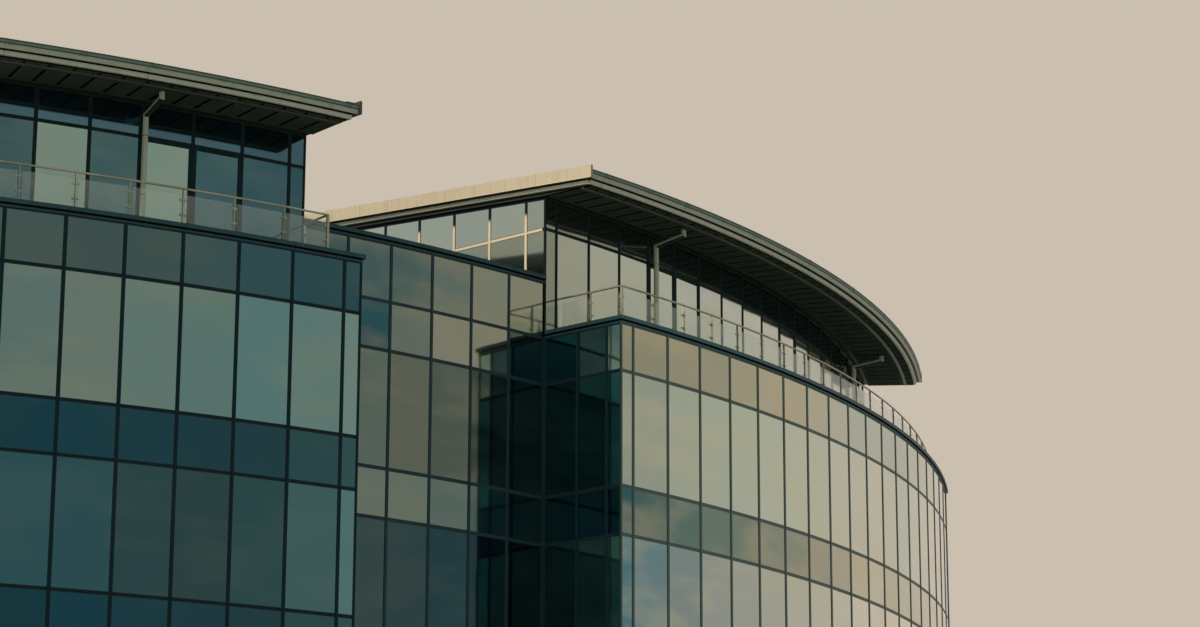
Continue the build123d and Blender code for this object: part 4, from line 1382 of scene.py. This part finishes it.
@dataclass
class PipeCollars:
    """Collars of the rainwater pipes, where lengths of pipe are joined and held to the wall."""

    proud: float = 0.006
    height: float = 0.05
    sides: int = 20
    levels: tuple[float, ...] = (0.06, 1.3, 2.55)

    def build(self, dresser: Dresser) -> None:
        """Build the collars: a ring profile of four points turned about each pipe's axis.

        Args:
            dresser: Source of the materials.
        """
        angles = [LEFT_CORNER - b * BAY for b in PIPE_BAYS_LEFT]
        angles += [RIGHT_CORNER + b * BAY for b in PIPE_BAYS_RIGHT]
        places = np.repeat(spot(PIPE_WALL, np.array(angles)), len(self.levels), axis=0)
        centres = raised(places, np.tile(TERRACE + np.array(self.levels), len(angles)))
        radii = (PIPE + np.array([-0.002, self.proud, self.proud, -0.002]))[:, None]
        heights = self.height * np.array([-0.5, -0.4, 0.4, 0.5])[:, None]
        turn = np.linspace(0, 2 * np.pi, self.sides, endpoint=False)
        ring = [radii * np.cos(turn), radii * np.sin(turn), np.repeat(heights, self.sides, 1)]
        points = centres[:, None, None, :] + np.stack(ring, axis=-1)
        quads = repeated(grid_quads(4, self.sides, closed=True), len(centres), 4 * self.sides)
        Piece("pipe_collars", points, quads, "rain_pipe", smooth=True).build(dresser.of(Finish.PIPE))


# Balustrades


def post_angles(first: float, last: float, opening: float = POST_STEP) -> list[float]:
    """Angles of the posts from one end of a balustrade to the other, with a first step of its own."""
    count = int((last - first - opening) / POST_STEP - 0.3)
    return [first] + [first + opening + POST_STEP * k for k in range(count + 1)] + [last]


@dataclass
class GlassClamps:
    """Round clamp buttons on both faces of the balustrade glass, two at each end of a panel."""

    radius: float = 0.02
    thick: float = 0.012
    sides: int = 12
    reach: float = 0.014

    def build(self, dresser: Dresser) -> None:
        """Build the buttons: a profile of radius and height turned about the glass's normal.

        Args:
            dresser: Source of the materials.
        """
        starts, ends = self.stretches()
        along = (ends - starts) / np.linalg.norm(ends - starts, axis=1, keepdims=True)
        inset = along * (PANEL_GAP + self.reach)
        places = np.concatenate([starts + inset, ends - inset])
        normal = np.concatenate([along, along])[:, ::-1] * np.array([1, -1])
        shapes = []
        for face in (1, -1):
            for level in CLAMP_LEVELS:
                shapes.append(self.buttons(raised(places, TERRACE + level), raised(normal * face, 0.0)))
        buttons = Piece("glass_clamp_buttons", *joined(shapes), "stainless", smooth=True)
        buttons.build(dresser.of(Finish.STEEL))

    def stretches(self) -> tuple[np.ndarray, np.ndarray]:
        """Panels of glass, from post to post or from post to wall.

        Returns:
            Plan points of their starts and of their ends.
        """
        side, width = np.degrees(RAIL_SIDE / RAIL), np.degrees(POST_WIDTH / RAIL)
        left_last, right_first, right_last = LEFT_CORNER - side, RIGHT_CORNER + side, RIGHT_END - side
        left = [-a for a in post_angles(-left_last, -(LEFT_END + width), LEFT_FIRST_POST)][::-1]
        rows = [spot(RAIL, np.array(posts)) for posts in (left, post_angles(right_first, right_last))]
        turns = np.array([left_last, right_first, right_last])
        starts = [row[:-1] for row in rows] + [spot(RAIL, turns)]
        ends = [row[1:] for row in rows] + [spot((RAIL + RECESS) / 2, turns)]
        return np.concatenate(starts), np.concatenate(ends)

    def buttons(self, places: np.ndarray, normal: np.ndarray) -> Shape:
        """One button at each place, on the side that its normal points to.

        Args:
            places: Points in the middle of the glass.
            normal: Normals of the glass.

        Returns:
            Points and quads of the buttons.
        """
        profile = np.array([[1.0, 0.0], [1.0, 0.7], [0.75, 1.0], [0.001, 1.0]]) * [self.radius, self.thick]
        side = np.stack([-normal[:, 1], normal[:, 0], np.zeros(len(normal))], axis=1)
        turn = np.linspace(0, 2 * np.pi, self.sides, endpoint=False)[None, :, None]
        spokes = side[:, None, :] * np.cos(turn) + np.array([0, 0, 1]) * np.sin(turn)
        rings = spokes[:, None, :, :] * profile[None, :, 0, None, None]
        lift = normal[:, None, None, :] * (PANEL_HALF + profile[None, :, 1, None, None])
        points = places[:, None, None, :] + rings + lift
        quads = grid_quads(len(profile), self.sides, closed=True)
        return points.reshape(-1, 3), repeated(quads, len(places), len(profile) * self.sides)


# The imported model's own nodes


def dress_nodes(nodes: dict[str, bpy.types.Object], dresser: Dresser) -> None:
    """Give every CAD node the finish of the first word that its name holds.

    Args:
        nodes: CAD nodes by name.
        dresser: Source of the materials.
    """
    by_word = {
        "slab": Finish.SLAB,
        "party_wall": Finish.RENDER,
        "left_coping": Finish.COPING_PAINTED_SHADE,
        "recess_coping": Finish.COPING_PAINTED_SHADE,
        "coping": Finish.COPING,
        "spandrels": Finish.BACK_PANEL,
        "balustrade_glass": Finish.RAIL_GLASS,
        "glass": Finish.SHEET_GLASS,
        "_roof": Finish.ROOF,
        "gutters": Finish.GUTTER,
        "eaves_strips": Finish.EAVES_STRIP,
        "soffit_trims": Finish.TRIM,
        "verge_boards": Finish.VERGE,
        "handrails": Finish.STEEL,
        "balustrade_posts": Finish.STEEL,
        "rain_pipes": Finish.PIPE,
        "_top_": Finish.TOP_FRAME,
        "right_front": Finish.FRAME_RIGHT,
        "rear_": Finish.FRAME_RIGHT,
        "recess_": Finish.RECESS_FRAME,
        "": Finish.FRAME,
    }
    for name, node in nodes.items():
        finish = next(finish for word, finish in by_word.items() if word in name)
        if not node.material_slots:
            node.data.materials.append(dresser.of(finish))
        for slot in node.material_slots:
            slot.material = dresser.of(finish)


# Stage


@dataclass(frozen=True)
class Stage:
    """Pale floor, soft light and the camera at the photograph's angle."""

    floor_size: float = 800.0
    floor: str = "#d9d3c8"
    sky: str = "#cbbfb0"
    fill: float = 0.63
    key: float = 1.8
    key_colour: str = "#ffe6c8"
    key_spread: float = 8.0
    key_side: tuple[float, float, float] = (-0.86, 0.42, 0.46)
    distance: float = 93.73
    plan_angle: float = -35.617
    eye: float = 2.18
    heading: float = 53.151
    pitch: float = 14.202
    roll: float = 0.0025
    focal_pixels: float = 3025.8
    picture_pixels: float = 1200.0
    sensor: float = 36.0

    def build(self) -> None:
        """Build the floor, the world, the lamps and the camera."""
        self.build_floor()
        self.build_world()
        self.build_lamps()
        self.build_camera()

    def build_floor(self) -> None:
        """A plain square of floor under the building."""
        half = self.floor_size / 2
        mesh = bpy.data.meshes.new("studio_floor")
        corners = [(-half, -half, 0), (half, -half, 0), (half, half, 0), (-half, half, 0)]
        mesh.from_pydata(corners, [], [(0, 1, 2, 3)])
        material = bpy.data.materials.new("studio_floor")
        Graph(material).surface(self.floor, 0.9)
        mesh.materials.append(material)
        floor = bpy.data.objects.new("studio_floor", mesh)
        bpy.context.scene.collection.objects.link(floor)

    def build_world(self) -> None:
        """Even light all round, and the pale sky where the camera or a reflection sees it."""
        world = bpy.data.worlds.new("studio_world")
        graph = Graph(world)
        rays = [graph.add(step) for step in (Step.SEEN, Step.MIRRORED, Step.SEEN_THROUGH)]
        seen = graph.add(Step.MAXIMUM, graph.add(Step.MAXIMUM, *rays[:2]), rays[2])
        light, sky = (graph.add(Step.BACKGROUND, *pair) for pair in (("#ffffff", self.fill), (self.sky, 1.0)))
        graph.add(Step.WORLD, graph.add(Step.EITHER, seen, light, sky))
        bpy.context.scene.world = world

    def build_lamps(self) -> None:
        """One broad warm lamp from behind the left wing, low enough to graze the roofs' ends."""
        lamp = bpy.data.lights.new("key_light", "SUN")
        lamp.energy = self.key
        lamp.angle = np.radians(self.key_spread)
        lamp.color = linear(self.key_colour)[:3]
        key = bpy.data.objects.new("key_light", lamp)
        toward = Vector(self.key_side)
        key.rotation_euler = toward.to_track_quat("Z", "Y").to_euler()
        key.location = toward * 80
        bpy.context.scene.collection.objects.link(key)

    def build_camera(self) -> None:
        """The camera that the photograph was taken with: place, heading, pitch, roll and lens."""
        data = bpy.data.cameras.new("camera")
        data.sensor_fit = "HORIZONTAL"
        data.sensor_width = self.sensor
        data.lens = self.focal_pixels / self.picture_pixels * self.sensor
        data.clip_end = 1000.0
        camera = bpy.data.objects.new("camera", data)
        x, y = spot(self.distance, self.plan_angle)
        turn = Matrix.Rotation(np.radians(-self.heading), 4, "Z")
        tilt = Matrix.Rotation(np.radians(90 + self.pitch), 4, "X")
        spin = Matrix.Rotation(self.roll, 4, "Z")
        camera.matrix_world = Matrix.Translation((x, y, self.eye)) @ turn @ tilt @ spin
        bpy.context.scene.collection.objects.link(camera)
        bpy.context.scene.camera = camera


def main() -> None:
    """Dress the imported frame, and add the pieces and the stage."""
    logging.basicConfig(level=logging.INFO, format="%(name)s %(message)s")
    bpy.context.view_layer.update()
    dresser = Dresser()
    dress_nodes(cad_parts, dresser)
    Facades(dresser).build()
    for part in (Soffit(), HeadTrim(), RoofSeams(), GutterStraps(), PipeCollars(), GlassClamps()):
        part.build(dresser)
    Stage().build()
    scene = bpy.context.scene
    scene.view_settings.view_transform = "Standard"


if __name__ == "__main__":
    main()
